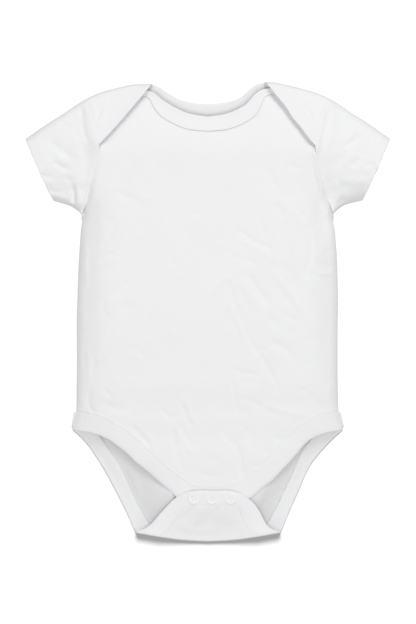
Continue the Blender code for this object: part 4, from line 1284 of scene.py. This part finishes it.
def both_sides(path, first, last, inward, surface, up=1, depth=0.0):
    return [seam_line(path, first, last, inward, surface, side, up, depth) for side in (1, -1)]


def make_stitching():
    """All rows of topstitching; each runs from one share of its seam's length to another."""
    rows = {
        "neck_stitches": both_sides(NECK_FRONT.seam, 0, 0.52, -STITCH_LINE, front_surface),
        "armhole_stitches": both_sides(ARM_SEAM, 0.42, 0.97, -STITCH_LINE, front_surface)
        + both_sides(ARM_SEAM, 0.06, 0.3, -STITCH_LINE, lap_surface),
        "lap_stitches": both_sides(LAP.seam, 0.14, 0.9, STITCH_LINE, lap_surface),
        "leg_stitches": both_sides(LEG_FRONT.seam, 0, 0.97, STITCH_LINE, front_surface),
        "flap_stitches": both_sides(FLAP.seam, 0.12, 1, STITCH_LINE, flap_surface),
        "back_stitches": both_sides(NECK_BACK.seam, 0, 0.94, -STITCH_LINE, under_surface, -1)
        + both_sides(LEG_BACK.seam, 0.04, 0.96, STITCH_LINE, under_surface, -1)
        + both_sides(ARM_SEAM, 0.05, 0.95, -STITCH_LINE, under_surface, -1),
        "inner_stitches": both_sides(LEG_BACK.seam, 0.04, 0.96, STITCH_LINE, under_surface, 1, -CLOTH),
        "hem_stitches": both_sides(CUFF, 0.04, 0.96, -HEM_DEPTH, sleeve_surface)
        + both_sides(CUFF, 0.04, 0.96, -HEM_DEPTH, under_surface, -1),
    }
    for name, seams in rows.items():
        stitches(name, seams)


# ---- snaps

RING_RADIUS = 4.75
RING_HOLE = 2.5
RING_SIDES = 48
RING_SUNK = 0.34
RING_PROFILE = [(RING_HOLE, 0.0), (RING_HOLE, 0.55), (RING_HOLE + 0.2, 0.68), (RING_HOLE + 0.5, 0.66),
                (RING_HOLE + 0.8, 0.52), (RING_RADIUS - 1.1, 0.5), (RING_RADIUS - 0.8, 0.62),
                (RING_RADIUS - 0.5, 0.68), (RING_RADIUS - 0.2, 0.6), (RING_RADIUS, 0.4),
                (RING_RADIUS, 0.1), (RING_RADIUS - 0.12, 0.0)]


def make_snap_ring(name):
    """A ring that shows on the flap: a rounded rim, a shallow dish and a low inner collar."""
    low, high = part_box(name)
    middle = (low + high) / 2 / MM
    below = flap_surface(np.array([[[middle.x - TAB_LEAN, middle.y]]]))[0, 0, 2] - RING_SUNK
    verts, faces = [], []
    count = len(RING_PROFILE)
    for k in range(RING_SIDES):
        a = 2 * math.pi * k / RING_SIDES
        verts += [((middle.x + r * math.cos(a)) * MM, (middle.y + r * math.sin(a)) * MM, (below + z) * MM)
                  for r, z in RING_PROFILE]
        here, following = k * count, (k + 1) % RING_SIDES * count
        for j in range(count):
            n = (j + 1) % count
            faces.append([here + j, here + n, following + n, following + j])
    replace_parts(add_mesh(name + "_enamel", verts, faces, ENAMEL, "snap_enamel"), name)


def make_snaps():
    for i in range(SNAP_COUNT):
        make_snap_ring("snap_ring_" + str(i + 1))
    for name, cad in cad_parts.items():
        if name.startswith("snap_") and not cad.hide_render:
            cad.data.materials.clear()
            cad.data.materials.append(ENAMEL)


# ---- floor, light and camera

PICTURE_HEIGHT = 624
PIXEL = 0.83  # millimetres of cloth that one picture element covers
LENS = 200.0
FILM = 36.0
CLOTH_LEVEL = 8.0  # height at which that scale holds
WORLD_GLOW = 0.46
LAMPS = table("name size place strength",  # metres and watts
    ("overhead", 1.0, (0, -0.38, 1.92), 11.6), ("from_the_neck", 0.9, (0.3, 1.6, 1.15), 14.2),
    ("from_the_legs", 1.2, (-0.2, -1.6, 1.0), 3.2))
FLOOR_REACH = 3.0  # metres
PAPER_BELOW = 0.0002  # metres, so that the paper never lies in the cloth's own plane
PAPER_TILT = math.radians(-32)
PAPER_SOFTNESS = math.radians(24)
PAPER_STRENGTH = 6.5
PAPER_TINT = 0.4
PAPER_GLOW = 0.18  # light through the paper from a table lit from below


def make_floor():
    material, start, shader = new_material("white_paper")
    dark, light = ((PAPER_TINT * share,) * 3 + (1,) for share in (0.99, 1.01))
    start.fill(shader, {"Base Color": start.speckle(900.0, 2.0).mixed(dark, light), "Roughness": 0.9,
                        "Specular IOR Level": 0.0, "Emission Color": (1, 1, 1, 1),
                        "Emission Strength": PAPER_GLOW})
    corners = [(x * FLOOR_REACH, y * FLOOR_REACH, 0) for x, y in ((-1, -1), (1, -1), (1, 1), (-1, 1))]
    floor = add_mesh("floor", corners, [(0, 1, 2, 3)], material)
    floor.location.z = -PAPER_BELOW
    floor.visible_diffuse = False
    return floor


def add_lamp(name, kind, strength):
    data = bpy.data.lights.new(name, kind)
    data.energy = strength
    return add_object(name, data)


def light_group(lamp, purpose, pieces, state="INCLUDE"):
    """The pieces that a lamp falls on or is shaded by, or with EXCLUDE all but them."""
    group = bpy.data.collections.new(lamp.name + purpose)
    for made in pieces:
        group.objects.link(made)
    for entry in group.collection_objects:
        entry.light_linking.link_state = state
    return group


def make_light(floor, low_pieces):
    """Soft lamps over the cloth, and one for the paper so that it stays white round the garment."""
    world = bpy.data.worlds.new("studio")
    bpy.context.scene.world = world
    world.use_nodes = True
    tree = world.node_tree
    Socket(tree).fill(tree.nodes["Background"], {"Color": (1, 1, 1, 1), "Strength": WORLD_GLOW})
    for row in LAMPS:
        lamp = add_lamp(row.name, "AREA", row.strength)
        lamp.data.shape = "DISK"
        lamp.data.size = row.size
        lamp.location = row.place
        lamp.rotation_mode = "QUATERNION"
        lamp.rotation_quaternion = (-Vector(row.place)).to_track_quat("-Z", "Y")
        lamp.light_linking.receiver_collection = light_group(lamp, "_falls_on", [floor], "EXCLUDE")
    paper = add_lamp("paper_lamp", "SUN", PAPER_STRENGTH)
    paper.data.angle = PAPER_SOFTNESS
    paper.rotation_euler = (PAPER_TILT, 0, 0)
    paper.light_linking.receiver_collection = light_group(paper, "_falls_on", [floor])
    paper.light_linking.blocker_collection = light_group(paper, "_shaded_by", low_pieces)


def make_camera():
    data = bpy.data.cameras.new("camera")
    data.lens = LENS
    data.sensor_width = FILM
    data.clip_start = 0.1
    data.clip_end = 20.0
    camera = add_object("camera", data)
    above = PICTURE_HEIGHT * PIXEL * LENS / FILM
    camera.location = (0, 0.5 * PIXEL * MM, (above + CLOTH_LEVEL) * MM)
    bpy.context.scene.camera = camera
    bpy.context.scene.view_settings.view_transform = "Standard"


# ---- the whole

make_camera()
make_front()
back = make_back()
make_sleeve("sleeve_of_left_arm", 1, "sleeve_left")
make_sleeve("sleeve_of_right_arm", -1, "sleeve_right")
make_front_band("front_neck_band", NECK_FRONT, [0.0], 1, "front_neck_binding")
make_back_neck_band()
make_front_band("front_leg_band", LEG_FRONT, ROLL_STEPS, -1, "front_leg_binding")
back_leg_band = make_back_leg_band()
make_stitching()
make_snaps()
make_light(make_floor(), [back, back_leg_band])
